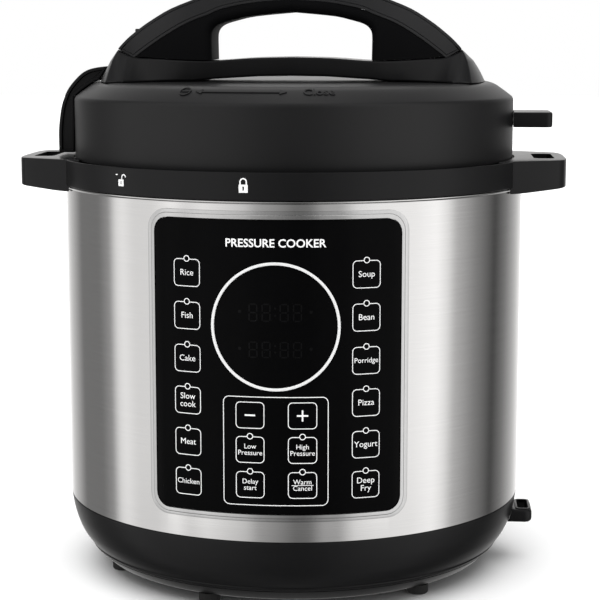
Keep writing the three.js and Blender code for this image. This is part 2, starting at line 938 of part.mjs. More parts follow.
const panel = new THREE.Group();
placed(panel, "panel_carrier", panelCarrier(), blackPlastic);
placed(panel, "control_panel", controlPanel(), panelBlack);
placed(panel, "panel_bezel", panelBezel(), bezelGrey);
placed(panel, "display_ring", displayRing(), polishedSteel);

const lid = new THREE.Group();
placed(lid, "lid_shell", lidShell(), blackPlastic);
placed(lid, "lid_plate", lidPlate(), polishedSteel);
STUD_ANGLES.forEach((angle, i) =>
  placed(lid, `plate_stud_${i + 1}`, plateStud(), screwZinc, onCircle(STUD_R, angle)),
);
placed(lid, "sealing_ring", sealingRing(), silicone);
placed(lid, "ring_rack", ringRack(), polishedSteel);
placed(lid, "vent_tube", ventTube(), polishedSteel);
placed(lid, "anti_block_shield", antiBlockShield(), polishedSteel);
placed(lid, "steam_release_handle", steamReleaseHandle(), blackPlastic);
placed(lid, "float_valve", floatValve(), polishedSteel);
placed(lid, "float_gasket", floatGasket(), silicone);
placed(lid, "handle_saddle", handleSaddle(), blackPlastic);
placed(lid, "lid_handle_core", lidHandleCore(), blackPlastic);
placed(lid, "lid_handle_cover", lidHandleCover(), handlePlastic);
["left", "right"].forEach((side, i) =>
  placed(lid, `saddle_screw_${side}`, saddleScrew(), screwZinc, [SADDLE_SCREWS[i], 0]),
);
placed(lid, "lid_stand_arm", lidStandArm(), blackPlastic);
placed(lid, "lid_stand_tab", lidStandTab(), blackPlastic);

cooker.add(base, body, heater, electronics, panel, lid);

export default cooker;
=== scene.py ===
import math

import bmesh
import bpy
from mathutils import Matrix, Vector
from mathutils.geometry import interpolate_bezier


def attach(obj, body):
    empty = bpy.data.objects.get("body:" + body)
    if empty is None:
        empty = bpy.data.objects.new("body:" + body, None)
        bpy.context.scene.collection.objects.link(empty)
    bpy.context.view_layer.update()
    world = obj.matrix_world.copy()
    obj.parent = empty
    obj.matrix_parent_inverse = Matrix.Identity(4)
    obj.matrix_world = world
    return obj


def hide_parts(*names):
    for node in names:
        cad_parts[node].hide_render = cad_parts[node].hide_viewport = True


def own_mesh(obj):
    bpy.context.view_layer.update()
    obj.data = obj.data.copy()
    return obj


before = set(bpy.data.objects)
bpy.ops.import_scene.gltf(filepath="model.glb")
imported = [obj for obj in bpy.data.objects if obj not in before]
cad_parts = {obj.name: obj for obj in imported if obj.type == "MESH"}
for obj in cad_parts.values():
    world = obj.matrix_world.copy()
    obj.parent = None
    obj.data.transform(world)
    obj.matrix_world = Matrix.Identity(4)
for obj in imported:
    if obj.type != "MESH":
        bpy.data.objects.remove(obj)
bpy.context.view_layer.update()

# ---------------------------------------------------------------- studio
# A long-lens product camera a little above the lid, a white sweep and one broad soft
# light overhead. The room that shows in the steel is a ring of light and dark flats.

CAMERA_PLACE = (0.0815, -1.1045, 0.3271)
CAMERA_TILT = 81.496  # degrees from straight down
CAMERA_TURN = 4.03
PAPER_WHITE = (1, 1, 1, 1)
SOFT_FILL = 0.62  # strength of the room for matt surfaces
OVERHEAD_SPREAD = 75
OVERHEAD_STRENGTH = 3.6

camera_data = bpy.data.cameras.new("product_camera")
camera_data.sensor_width = 36
camera_data.lens = 107.97
camera_data.clip_start = 0.05
camera_data.clip_end = 40
camera = bpy.data.objects.new("product_camera", camera_data)
camera.location = CAMERA_PLACE
camera.rotation_euler = (math.radians(CAMERA_TILT), 0, math.radians(CAMERA_TURN))
bpy.context.scene.collection.objects.link(camera)
bpy.context.scene.camera = camera
bpy.context.scene.view_settings.view_transform = "Standard"

sweep_paper = bpy.data.materials.new("sweep_paper")
sweep_paper.use_nodes = True
sweep_shader = sweep_paper.node_tree.nodes["Principled BSDF"]
sweep_shader.inputs["Roughness"].default_value = 0.9
sweep_shader.inputs["Specular IOR Level"].default_value = 0.1
paper_fibre = sweep_paper.node_tree.nodes.new("ShaderNodeTexNoise")
paper_fibre.inputs["Scale"].default_value = 3.0
paper_tone = sweep_paper.node_tree.nodes.new("ShaderNodeValToRGB")
paper_tone.color_ramp.elements[0].color = (0.86, 0.86, 0.86, 1)
paper_tone.color_ramp.elements[1].color = (0.9, 0.9, 0.9, 1)
paper_place = sweep_paper.node_tree.nodes.new("ShaderNodeTexCoord")
sweep_paper.node_tree.links.new(paper_place.outputs["Object"], paper_fibre.inputs["Vector"])
sweep_paper.node_tree.links.new(paper_fibre.outputs["Fac"], paper_tone.inputs["Fac"])
sweep_paper.node_tree.links.new(paper_tone.outputs["Color"], sweep_shader.inputs["Base Color"])

floor_shape = bmesh.new()
bmesh.ops.create_grid(floor_shape, x_segments=4, y_segments=4, size=8)
floor_mesh = bpy.data.meshes.new("sweep_floor")
floor_shape.to_mesh(floor_mesh)
floor_shape.free()
floor_mesh.materials.append(sweep_paper)
floor = bpy.data.objects.new("sweep_floor", floor_mesh)
floor.visible_glossy = False
bpy.context.scene.collection.objects.link(floor)

# The room's tones by bearing: (degrees from the front, brightness)
ROOM_FLATS = [
    (-180, 1.0), (-166, 0.9), (-152, 0.53), (-138, 0.3), (-130, 0.15), (-110, 0.15),
    (-101, 0.26), (-95, 0.68), (-90, 0.76), (-82, 0.64), (-70, 0.64), (-58, 0.83), (-50, 0.65),
    (-41, 0.76), (-20, 0.53), (-14, 0.33), (-3, 0.23), (5, 0.14), (12, 0.15), (19, 0.34),
    (27, 0.35), (35, 0.68), (46, 0.78), (66, 0.82), (79, 0.95), (86, 0.74), (92, 0.42),
    (106, 0.21), (124, 0.05), (137, 0.17), (152, 0.4), (180, 1.0),
]
STEEL_SHARE = 0.75  # how much of the room's light the steel gives back
BRIGHTEST = 1.25

world = bpy.data.worlds.new("studio_room")
world.use_nodes = True
bpy.context.scene.world = world
room = world.node_tree
room.nodes.clear()
room_place = room.nodes.new("ShaderNodeTexCoord")
room_split = room.nodes.new("ShaderNodeSeparateXYZ")
room_front = room.nodes.new("ShaderNodeMath")
room_front.operation = "MULTIPLY"
room_front.inputs[1].default_value = -1
room_bearing = room.nodes.new("ShaderNodeMath")
room_bearing.operation = "ARCTAN2"
room_turn = room.nodes.new("ShaderNodeMapRange")
room_turn.inputs["From Min"].default_value = -math.pi
room_turn.inputs["From Max"].default_value = math.pi
room_tones = room.nodes.new("ShaderNodeValToRGB")
for spare in range(len(ROOM_FLATS) - 2):
    room_tones.color_ramp.elements.new(0.5)
for element, (bearing, tone) in zip(room_tones.color_ramp.elements, ROOM_FLATS):
    element.position = (bearing + 180) / 360
    light = min(tone / STEEL_SHARE, BRIGHTEST)
    element.color = (light, light * 0.992, light * 0.985, 1)
room_low = room.nodes.new("ShaderNodeMapRange")  # the room darkens towards the floor
room_low.inputs["From Min"].default_value = -0.9
room_low.inputs["From Max"].default_value = -0.32
room_low.inputs["To Min"].default_value = 0.3
room_low.inputs["To Max"].default_value = 1.0
room_reflected = room.nodes.new("ShaderNodeBackground")
room_soft = room.nodes.new("ShaderNodeBackground")
room_soft.inputs["Color"].default_value = PAPER_WHITE
room_soft.inputs["Strength"].default_value = SOFT_FILL
room_paper = room.nodes.new("ShaderNodeBackground")
room_paper.inputs["Color"].default_value = PAPER_WHITE
room_paper.inputs["Strength"].default_value = 1.0
room_path = room.nodes.new("ShaderNodeLightPath")
room_mix_soft = room.nodes.new("ShaderNodeMixShader")
room_mix_seen = room.nodes.new("ShaderNodeMixShader")
room_out = room.nodes.new("ShaderNodeOutputWorld")
for start, end in (
    (room_place.outputs["Generated"], room_split.inputs[0]),
    (room_split.outputs["Y"], room_front.inputs[0]),
    (room_split.outputs["X"], room_bearing.inputs[0]),
    (room_front.outputs[0], room_bearing.inputs[1]),
    (room_bearing.outputs[0], room_turn.inputs["Value"]),
    (room_turn.outputs[0], room_tones.inputs["Fac"]),
    (room_tones.outputs["Color"], room_reflected.inputs["Color"]),
    (room_split.outputs["Z"], room_low.inputs["Value"]),
    (room_low.outputs[0], room_reflected.inputs["Strength"]),
    (room_path.outputs["Is Diffuse Ray"], room_mix_soft.inputs["Fac"]),
    (room_reflected.outputs[0], room_mix_soft.inputs[1]),
    (room_soft.outputs[0], room_mix_soft.inputs[2]),
    (room_path.outputs["Is Camera Ray"], room_mix_seen.inputs["Fac"]),
    (room_mix_soft.outputs[0], room_mix_seen.inputs[1]),
    (room_paper.outputs[0], room_mix_seen.inputs[2]),
    (room_mix_seen.outputs[0], room_out.inputs["Surface"]),
):
    room.links.new(start, end)

overhead_data = bpy.data.lights.new("overhead_soft_light", "SUN")
overhead_data.angle = math.radians(OVERHEAD_SPREAD)
overhead_data.energy = OVERHEAD_STRENGTH
overhead = bpy.data.objects.new("overhead_soft_light", overhead_data)
overhead.rotation_euler = (math.radians(8), math.radians(-4), 0)
overhead.visible_glossy = False
bpy.context.scene.collection.objects.link(overhead)

# ---------------------------------------------------------------- rubber feet
# Four small moulded rubber feet with necks pushed through holes in the bottom cover.
# Each stands on a narrow rim round a shallow hollow, and its rubber is dull and grainy.

MM = 0.001
FEET = {"foot_left": -67, "foot_front": -22, "foot_right": 45, "foot_rear": 165}
FOOT_CIRCLE = 111
RUBBER_DARK = (0.006, 0.006, 0.006, 1)
RUBBER_LIGHT = (0.014, 0.014, 0.0135, 1)


def outline_face(places, points, segments):
    """A flat face through these places, each corner rounded by its point's third value."""
    shape = bmesh.new()
    corners = [shape.verts.new(place) for place in places]
    shape.faces.new(corners)
    for corner, point in zip(corners, points):
        if len(point) > 2:
            bmesh.ops.bevel(
                shape, geom=[corner], offset=point[2] * MM, offset_type="OFFSET",
                affect="VERTICES", segments=segments, profile=0.5, material=-1,
            )
    return shape


def turned(outline, steps=192):
    """A closed outline of [radius, height, rounding] spun about the pot's axis."""
    shape = outline_face([(p[0] * MM, 0, p[1] * MM) for p in outline], outline, 5)
    bmesh.ops.delete(shape, geom=shape.faces[:], context="FACES_ONLY")
    axis_edges = [e for e in shape.edges if all(v.co.x < 1e-6 for v in e.verts)]
    bmesh.ops.delete(shape, geom=axis_edges, context="EDGES")
    bmesh.ops.spin(
        shape, geom=shape.verts[:] + shape.edges[:], cent=(0, 0, 0), axis=(0, 0, 1),
        angle=math.tau, steps=steps, use_merge=True, use_duplicate=False,
    )
    return tidied(shape)


def tidied(shape):
    """Merges doubles and turns every face outwards."""
    bmesh.ops.remove_doubles(shape, verts=shape.verts[:], dist=2e-6)
    bmesh.ops.dissolve_degenerate(shape, edges=shape.edges[:], dist=1e-6)
    bmesh.ops.recalc_face_normals(shape, faces=shape.faces[:])
    return shape


def shifted(shape, x=0, y=0, z=0):
    """Moves a shape, in millimetres."""
    bmesh.ops.translate(shape, verts=shape.verts[:], vec=(x * MM, y * MM, z * MM))
    return shape


def on_circle(radius, degrees):
    """The plan point at an angle from the front, towards +X."""
    angle = math.radians(degrees)
    return radius * math.sin(angle), -radius * math.cos(angle)


def fitted(name, shape, finish, body, nodes=(), crease=35):
    """Makes a finished piece of a shape, and seats it on its body."""
    mesh = bpy.data.meshes.new(name)
    shape.to_mesh(mesh)
    shape.free()
    mesh.shade_smooth()
    mesh.set_sharp_from_angle(angle=math.radians(crease))
    mesh.materials.append(finish)
    part = bpy.data.objects.new(name, mesh)
    bpy.context.scene.collection.objects.link(part)
    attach(part, body)
    if nodes:
        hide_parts(*nodes)
    return part


def surface_group(name, inputs):
    """A node group with these inputs that puts out a colour, a roughness and a normal."""
    group = bpy.data.node_groups.new(name, "ShaderNodeTree")
    for label, kind, value in inputs:
        group.interface.new_socket(
            name=label, in_out="INPUT", socket_type=kind
        ).default_value = value
    for label, kind in (
        ("Colour", "NodeSocketColor"), ("Roughness", "NodeSocketFloat"),
        ("Normal", "NodeSocketVector"),
    ):
        group.interface.new_socket(name=label, in_out="OUTPUT", socket_type=kind)
    return group, group.nodes.new("NodeGroupInput"), group.nodes.new("NodeGroupOutput")


def grain_group():
    """Moulded surface: two close tones, a spread of gloss and a fine pebbled normal."""
    group, given, sent = surface_group(
        "moulded_grain",
        (
            ("Dark Tone", "NodeSocketColor", (0.01, 0.01, 0.01, 1)),
            ("Light Tone", "NodeSocketColor", (0.02, 0.02, 0.02, 1)),
            ("Grain Size", "NodeSocketFloat", 1800.0), ("Gloss Low", "NodeSocketFloat", 0.35),
            ("Gloss High", "NodeSocketFloat", 0.5), ("Depth", "NodeSocketFloat", 0.00003),
        ),
    )
    place = group.nodes.new("ShaderNodeTexCoord")
    grain = group.nodes.new("ShaderNodeTexNoise")
    grain.inputs["Detail"].default_value = 3.0
    cloud = group.nodes.new("ShaderNodeTexNoise")
    cloud.inputs["Scale"].default_value = 22.0
    cloud.inputs["Detail"].default_value = 4.0
    blend = group.nodes.new("ShaderNodeMath")
    blend.operation = "MULTIPLY_ADD"
    blend.inputs[1].default_value = 0.5
    halved = group.nodes.new("ShaderNodeMath")
    halved.operation = "MULTIPLY"
    halved.inputs[1].default_value = 0.5
    tone = group.nodes.new("ShaderNodeMix")
    tone.data_type = "RGBA"
    gloss = group.nodes.new("ShaderNodeMapRange")
    gloss.inputs["From Min"].default_value = 0.3
    gloss.inputs["From Max"].default_value = 0.7
    pebble = group.nodes.new("ShaderNodeBump")
    pebble.inputs["Strength"].default_value = 1.0
    for start, end in (
        (place.outputs["Object"], grain.inputs["Vector"]),
        (given.outputs["Grain Size"], grain.inputs["Scale"]),
        (place.outputs["Object"], cloud.inputs["Vector"]),
        (cloud.outputs["Fac"], halved.inputs[0]),
        (grain.outputs["Fac"], blend.inputs[0]),
        (halved.outputs[0], blend.inputs[2]),
        (blend.outputs[0], tone.inputs["Factor"]),
        (given.outputs["Dark Tone"], tone.inputs["A"]),
        (given.outputs["Light Tone"], tone.inputs["B"]),
        (tone.outputs["Result"], sent.inputs["Colour"]),
        (blend.outputs[0], gloss.inputs["Value"]),
        (given.outputs["Gloss Low"], gloss.inputs["To Min"]),
        (given.outputs["Gloss High"], gloss.inputs["To Max"]),
        (gloss.outputs[0], sent.inputs["Roughness"]),
        (grain.outputs["Fac"], pebble.inputs["Height"]),
        (given.outputs["Depth"], pebble.inputs["Distance"]),
        (pebble.outputs[0], sent.inputs["Normal"]),
    ):
        group.links.new(start, end)
    return group


moulded_grain = grain_group()


def coated(name, group, group_values, shader_values):
    """A material that takes its colour, roughness and normal from a surface group."""
    coat = bpy.data.materials.new(name)
    coat.use_nodes = True
    shader = coat.node_tree.nodes["Principled BSDF"]
    for label, value in shader_values.items():
        shader.inputs[label].default_value = value
    surface = coat.node_tree.nodes.new("ShaderNodeGroup")
    surface.node_tree = group
    for label, value in group_values.items():
        surface.inputs[label].default_value = value
    for given, taken in (
        ("Colour", "Base Color"), ("Roughness", "Roughness"), ("Normal", "Normal"),
    ):
        coat.node_tree.links.new(surface.outputs[given], shader.inputs[taken])
    return coat


def moulded(name, dark, light, gloss, size=1800.0, depth=0.00003, specular=0.5, also=None):
    """A moulded plastic, rubber or paint with the pebbled grain."""
    group_values = {
        "Dark Tone": dark,
        "Light Tone": light,
        "Grain Size": size,
        "Gloss Low": gloss[0],
        "Gloss High": gloss[1],
        "Depth": depth,
    }
    shader_values = {"Specular IOR Level": specular, **(also or {})}
    return coated(name, moulded_grain, group_values, shader_values)


foot_rubber = moulded("foot_rubber", RUBBER_DARK, RUBBER_LIGHT, (0.75, 0.9), 900.0)
for foot_name, foot_angle in FEET.items():
    foot_shape = turned(
        [
            [0, 1.2], [3.2, 1.2, 0.4], [4.0, 0, 0.2], [5.6, 0, 0.6], [6.4, 1.2, 0.4],
            [6.4, 5.9, 0.3], [2, 5.9], [2, 8.7], [3.4, 8.7, 0.3], [2.4, 10.6, 0.5], [0, 10.6],
        ],
        48,
    )
    foot_x, foot_y = on_circle(FOOT_CIRCLE, foot_angle)
    fitted(
        foot_name + "_rubber", shifted(foot_shape, foot_x, foot_y), foot_rubber, "root",
        [foot_name],
    )

# ---------------------------------------------------------------- bottom cover
# A shallow black dish of moulded plastic that closes the base from below.
# Three screws hold it to the posts under the outer pot, and the feet push through it.

SCREW_CIRCLE = 100
SCREW_ANGLES = (60, 180, 300)
COVER_HOLES = [(FOOT_CIRCLE, angle, 2.4) for angle in FEET.values()]
COVER_SCREWS = [(SCREW_CIRCLE, angle, 2.2) for angle in SCREW_ANGLES]
PLASTIC_DARK = (0.0038, 0.0038, 0.0041, 1)
PLASTIC_LIGHT = (0.0068, 0.0068, 0.0073, 1)


def loose_object(name, shape):
    """A shape as an object of its own, for a moment."""
    mesh = bpy.data.meshes.new(name)
    shape.to_mesh(mesh)
    shape.free()
    part = bpy.data.objects.new(name, mesh)
    bpy.context.scene.collection.objects.link(part)
    return part


def carved(shape, tools, operation="DIFFERENCE"):
    """Cuts closed shapes out of another, or joins them to it."""
    blank = loose_object("blank", shape)
    cutters = [loose_object("cutter", tool) for tool in tools]
    for cutter in cutters:
        step = blank.modifiers.new("cut", "BOOLEAN")
        step.operation = operation
        step.solver = "EXACT"
        step.object = cutter
    bpy.context.view_layer.update()
    made = bpy.data.meshes.new_from_object(
        blank.evaluated_get(bpy.context.evaluated_depsgraph_get())
    )
    result = bmesh.new()
    result.from_mesh(made)
    bpy.data.meshes.remove(made)
    for part in [blank, *cutters]:
        mesh = part.data
        bpy.data.objects.remove(part)
        bpy.data.meshes.remove(mesh)
    bmesh.ops.remove_doubles(result, verts=result.verts[:], dist=2e-6)
    return result


def rod(radius, low, high, x=0, y=0, steps=32):
    """A plain round bar that serves as a cutter or a pin."""
    return shifted(turned([[0, low], [radius, low], [radius, high], [0, high]], steps), x, y)


satin_plastic = moulded(
    "satin_plastic", PLASTIC_DARK, PLASTIC_LIGHT, (0.27, 0.35), 1500.0, 0.00002, 0.2
)
cover_dish = turned(
    [
        [0, 6.2], [60, 6.2], [61, 6.8, 0.3], [64, 6.8, 0.3], [65, 6.2], [118, 6.2, 2],
        [125.7, 13.2, 0.4], [122.7, 13.2], [117.2, 8.4], [0, 8.4],
    ]
)
cover_cuts = [
    rod(size, 0, 20, *on_circle(circle, angle))
    for circle, angle, size in COVER_HOLES + COVER_SCREWS
]
fitted(
    "bottom_cover_dish", carved(cover_dish, cover_cuts), satin_plastic, "root",
    ["bottom_cover"],
)

# ---------------------------------------------------------------- base housing
# The black bowl under the steel, injection moulded in a satin finish.
# A fine parting step runs round it near the bottom, and the mains socket shows at the back.


def plan_face(points):
    """A flat face in plan, from [x, y, rounding] points."""
    return outline_face([(p[0] * MM, p[1] * MM, 0) for p in points], points, 6)


def thickened(shape, x=0, y=0, z=0):
    """Extrudes every face of a flat shape by a distance in millimetres."""
    grown = bmesh.ops.extrude_face_region(shape, geom=shape.faces[:])
    moved = [item for item in grown["geom"] if isinstance(item, bmesh.types.BMVert)]
    bmesh.ops.translate(shape, verts=moved, vec=(x * MM, y * MM, z * MM))
    return tidied(shape)


def slab(points, low, high):
    """A plan outline standing between two heights."""
    return thickened(shifted(plan_face(points), z=low), z=high - low)


def box_points(x0, x1, y0, y1, corner=0):
    """The four corners of a rectangle, each with its rounding."""
    rounding = [corner] if corner else []
    return [[x, y, *rounding] for x, y in ((x0, y0), (x1, y0), (x1, y1), (x0, y1))]


base_bowl = turned(
    [
        [123.2, 13.5], [126, 13.5, 0.5], [127.6, 15.6, 0.4], [127.3, 16.0, 0.2],
        [131.6, 21.2, 4], [135.6, 29.2, 5], [137.9, 38, 4], [139, 45.2, 0.3], [138.6, 45.6],
        [136.2, 45.6], [135.3, 38.4], [133.3, 30], [129.3, 22.2],
    ]
)
inlet_opening = slab(box_points(-15.3, 15.3, 100, 150, 2), 21.7, 43.3)
fitted(
    "base_housing_bowl", carved(base_bowl, [inlet_opening]), satin_plastic, "root",
    ["base_housing"],
)

# ---------------------------------------------------------------- ladle socket
# A thick flat loop moulded on the right of the base, which takes the hook of a ladle holder.
# A raised rim runs round its slot.

BASE_CURVE = [
    [0, 10], [126.3, 13.5], [131.9, 20.5], [136.1, 29], [138.3, 38], [139.3, 45.6], [0, 45.6],
]


def softened(shape, radius, angle=40, segments=3):
    """Rounds every edge that turns by more than the angle."""
    edges = [
        edge
        for edge in shape.edges
        if len(edge.link_faces) == 2 and edge.calc_face_angle(0) > math.radians(angle)
    ]
    bmesh.ops.bevel(
        shape, geom=edges, offset=radius * MM, offset_type="OFFSET", affect="EDGES",
        segments=segments, profile=0.5, material=-1, clamp_overlap=True,
    )
    return tidied(shape)


def joined(shapes):
    """Several shapes in one mesh."""
    whole = bmesh.new()
    for shape in shapes:
        mesh = bpy.data.meshes.new("gathered")
        shape.to_mesh(mesh)
        shape.free()
        whole.from_mesh(mesh)
        bpy.data.meshes.remove(mesh)
    return whole


def ladle_hole():
    """A cutter for the slot that the holder's hook drops into."""
    return slab(box_points(139.9, 146.6, -10.5, 10.5, 2), 20, 40)


ladle_loop = softened(slab(box_points(124, 148.8, -14, 14, 5), 25.4, 33.4), 2.2)
ladle_rim = softened(slab(box_points(138.5, 147.9, -12, 12, 3), 32, 34), 0.4)
ladle_rim = carved(ladle_rim, [ladle_hole()])
ladle_whole = carved(ladle_loop, [ladle_hole(), turned(BASE_CURVE, 96)])
fitted(
    "ladle_socket_loop", joined([softened(ladle_whole, 0.35, 60, 2), ladle_rim]), satin_plastic,
    "root", ["ladle_socket"],
)

# ---------------------------------------------------------------- mains inlet
# A three-pin appliance inlet in hard black plastic, let into the back of the base.
# Its flat brass pins stand in a deep recess.

INLET_PINS = {
    "inlet_pin_live": (-7, 31), "inlet_pin_earth": (0, 34.5), "inlet_pin_neutral": (7, 31),
}


def metal_group():
    """Drawn, turned or brushed metal: long fine lines that vary the gloss, tone and normal."""
    group, given, sent = surface_group(
        "worked_metal",
        (
            ("Dark Tone", "NodeSocketColor", (0.5, 0.5, 0.5, 1)),
            ("Light Tone", "NodeSocketColor", (0.6, 0.6, 0.6, 1)),
            ("Line Spacing", "NodeSocketVector", (40.0, 40.0, 3000.0)),
            ("Gloss Low", "NodeSocketFloat", 0.2), ("Gloss High", "NodeSocketFloat", 0.3),
            ("Depth", "NodeSocketFloat", 0.000004),
        ),
    )
    place = group.nodes.new("ShaderNodeTexCoord")
    stretch = group.nodes.new("ShaderNodeVectorMath")
    stretch.operation = "MULTIPLY"
    lines = group.nodes.new("ShaderNodeTexNoise")
    lines.inputs["Scale"].default_value = 1.0
    lines.inputs["Detail"].default_value = 4.0
    lines.inputs["Roughness"].default_value = 0.65
    tone = group.nodes.new("ShaderNodeMix")
    tone.data_type = "RGBA"
    gloss = group.nodes.new("ShaderNodeMapRange")
    gloss.inputs["From Min"].default_value = 0.3
    gloss.inputs["From Max"].default_value = 0.7
    score = group.nodes.new("ShaderNodeBump")
    score.inputs["Strength"].default_value = 1.0
    for start, end in (
        (place.outputs["Object"], stretch.inputs[0]),
        (given.outputs["Line Spacing"], stretch.inputs[1]),
        (stretch.outputs[0], lines.inputs["Vector"]),
        (lines.outputs["Fac"], tone.inputs["Factor"]),
        (given.outputs["Dark Tone"], tone.inputs["A"]),
        (given.outputs["Light Tone"], tone.inputs["B"]),
        (tone.outputs["Result"], sent.inputs["Colour"]),
        (lines.outputs["Fac"], gloss.inputs["Value"]),
        (given.outputs["Gloss Low"], gloss.inputs["To Min"]),
        (given.outputs["Gloss High"], gloss.inputs["To Max"]),
        (gloss.outputs[0], sent.inputs["Roughness"]),
        (lines.outputs["Fac"], score.inputs["Height"]),
        (given.outputs["Depth"], score.inputs["Distance"]),
        (score.outputs[0], sent.inputs["Normal"]),
    ):
        group.links.new(start, end)
    return group


worked_metal = metal_group()


def metal(name, dark, light, gloss, spacing=(40, 40, 3000), depth=0.000004):
    """A bare metal with its worked lines."""
    group_values = {
        "Dark Tone": dark,
        "Light Tone": light,
        "Line Spacing": spacing,
        "Gloss Low": gloss[0],
        "Gloss High": gloss[1],
        "Depth": depth,
    }
    return coated(name, worked_metal, group_values, {"Metallic": 1.0})


hard_plastic = moulded(
    "hard_plastic", (0.006, 0.006, 0.0065, 1), (0.011, 0.011, 0.0115, 1), (0.25, 0.38), 2400.0
)
brass = metal("brass", (0.5, 0.33, 0.12, 1), (0.62, 0.42, 0.17, 1), (0.22, 0.34), (900, 900, 900))
inlet_block = softened(slab(box_points(-15, 15, 112, 137.6, 1.6), 22, 43), 0.7)
inlet_recess = slab(box_points(-12, 12, 121, 160, 1.2), 24.5, 40.5)
fitted(
    "power_inlet_block", softened(carved(inlet_block, [inlet_recess]), 0.3, 60, 2),
    hard_plastic, "root", ["power_inlet"],
)
for pin_name, (pin_x, pin_z) in INLET_PINS.items():
    pin_shape = slab(box_points(pin_x - 1, pin_x + 1, 110, 132), pin_z - 2.5, pin_z + 2.5)
    fitted(pin_name + "_blade", softened(pin_shape, 0.4), brass, "root", [pin_name])

# ---------------------------------------------------------------- posts, screws and electronics
# Cast posts and zinc-plated screws join the cover to the outer pot. The power board, its
# transformer, relay and ribbon, the control board and the display sit inside the housing.


def dressed(finish, *nodes):
    """Gives carried-over nodes their finish."""
    for node in nodes:
        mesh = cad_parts[node].data
        mesh.materials.clear()
        mesh.materials.append(finish)


zinc = metal("zinc", (0.42, 0.43, 0.45, 1), (0.6, 0.61, 0.62, 1), (0.28, 0.42), (1200, 1200, 1200))
cast_aluminium = metal(
    "cast_aluminium", (0.38, 0.385, 0.39, 1), (0.5, 0.505, 0.51, 1), (0.42, 0.58),
    (700, 700, 700), 0.00003,
)
board_lacquer = moulded(
    "board_lacquer", (0.008, 0.055, 0.022, 1), (0.016, 0.1, 0.04, 1), (0.25, 0.4), 420.0
)
copper_winding = metal(
    "copper_winding", (0.45, 0.2, 0.08, 1), (0.62, 0.33, 0.14, 1), (0.3, 0.45), (30, 30, 2200)
)
ribbon_film = moulded(
    "ribbon_film", (0.42, 0.43, 0.44, 1), (0.55, 0.56, 0.57, 1), (0.35, 0.5), 300.0
)
dressed(cast_aluminium, "pot_post_1", "pot_post_2", "pot_post_3")
dressed(zinc, "base_screw_1", "base_screw_2", "base_screw_3")
dressed(board_lacquer, "power_board", "control_board")
dressed(copper_winding, "transformer")
dressed(hard_plastic, "relay", "pressure_switch", "display_module")
dressed(ribbon_film, "ribbon_cable")

# ---------------------------------------------------------------- outer pot and heater
# The fixed outer pot is drawn aluminium with a six-tooth bayonet flange. The cast heating plate
# lies in its floor with the sprung temperature sensor at its centre.

TEETH = 6
TOOTH_ANGLE = 24


def rotated(shape, degrees, axis="X"):
    """Turns a shape about an axis through the origin."""
    bmesh.ops.rotate(
        shape, verts=shape.verts[:], cent=(0, 0, 0),
        matrix=Matrix.Rotation(math.radians(degrees), 3, axis),
    )
    return shape


def tooth(inner, outer, low, high, start):
    """One bayonet tooth, a curved block between two radii."""
    blade = slab(box_points(inner, outer, -0.01, 0.01), low, high)
    bmesh.ops.delete(blade, geom=[f for f in blade.faces if f.normal.y > -0.5], context="FACES")
    bmesh.ops.spin(
        blade, geom=blade.verts[:] + blade.edges[:] + blade.faces[:], cent=(0, 0, 0),
        axis=(0, 0, 1), angle=math.radians(TOOTH_ANGLE), steps=16, use_duplicate=False,
    )
    return tidied(rotated(blade, start, "Z"))


well = turned(
    [
        [30, 48.5], [107, 48.5, 2], [113, 52, 3], [115.3, 60, 3], [115.3, 241, 1], [124, 241],
        [124, 246, 0.4], [113.5, 246, 1], [113.5, 60.6, 3], [111.4, 53.2, 3], [106.5, 50.3, 2],
        [30, 50.3],
    ]
)
flange_teeth = [tooth(123, 127.5, 243, 246, index * 360 / TEETH) for index in range(TEETH)]
fitted(
    "outer_pot_drawn", joined([well, *flange_teeth]), cast_aluminium, "root", ["outer_pot"],
)
heating_disc = turned(
    [[14, 56, 1], [93, 56, 2], [96, 59, 2], [96, 68, 2], [92, 73.7, 2], [14, 73.7, 1]], 128,
)
fitted(
    "heating_plate_cast", heating_disc, cast_aluminium, "root", ["heating_plate"]
)
dressed(brass, "heater_terminal_left", "heater_terminal_right")
dressed(zinc, "sensor_bracket")
dressed(cast_aluminium, "thermal_fuse")
sensor_cap = turned(
    [
        [0, 44], [3, 44, 0.4], [3, 62], [10, 62], [11.5, 63.5, 0.3], [11.5, 72.7, 0.4],
        [10.5, 73.7, 0.6], [0, 73.7],
    ],
    64,
)
polished_steel = metal(
    "polished_steel", (0.56, 0.56, 0.55, 1), (0.66, 0.66, 0.65, 1), (0.13, 0.22),
    (60, 60, 1800), 0.000002,
)
SPRING_R = 7
SPRING_WIRE_R = 0.6
SPRING_LOW = 49.6
SPRING_RISE = 11.5
SPRING_COILS = 4
SPRING_STEPS = 128

spring_wire = bmesh.new()
bmesh.ops.create_circle(spring_wire, cap_ends=False, segments=12, radius=SPRING_WIRE_R * MM)
shifted(rotated(spring_wire, 90), x=SPRING_R, z=SPRING_LOW)
bmesh.ops.spin(
    spring_wire, geom=spring_wire.verts[:] + spring_wire.edges[:], cent=(0, 0, 0),
    axis=(0, 0, 1), dvec=(0, 0, SPRING_RISE / SPRING_STEPS * MM), angle=SPRING_COILS * math.tau,
    steps=SPRING_STEPS, use_merge=False, use_duplicate=False,
)
bmesh.ops.holes_fill(spring_wire, edges=[e for e in spring_wire.edges if e.is_boundary], sides=0)
spring_coil = fitted(
    "sensor_spring_coil", tidied(spring_wire), zinc, "root", ["sensor_spring"]
)
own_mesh(spring_coil)
fitted(
    "temperature_sensor_cap", sensor_cap, polished_steel, "sensor", ["temperature_sensor"],
)

# ---------------------------------------------------------------- steel shell
# The drum is one rolled sheet of stainless steel, brushed round its girth, with a window cut
# in the front for the panel. Its top edge flares a little where it enters the collar.

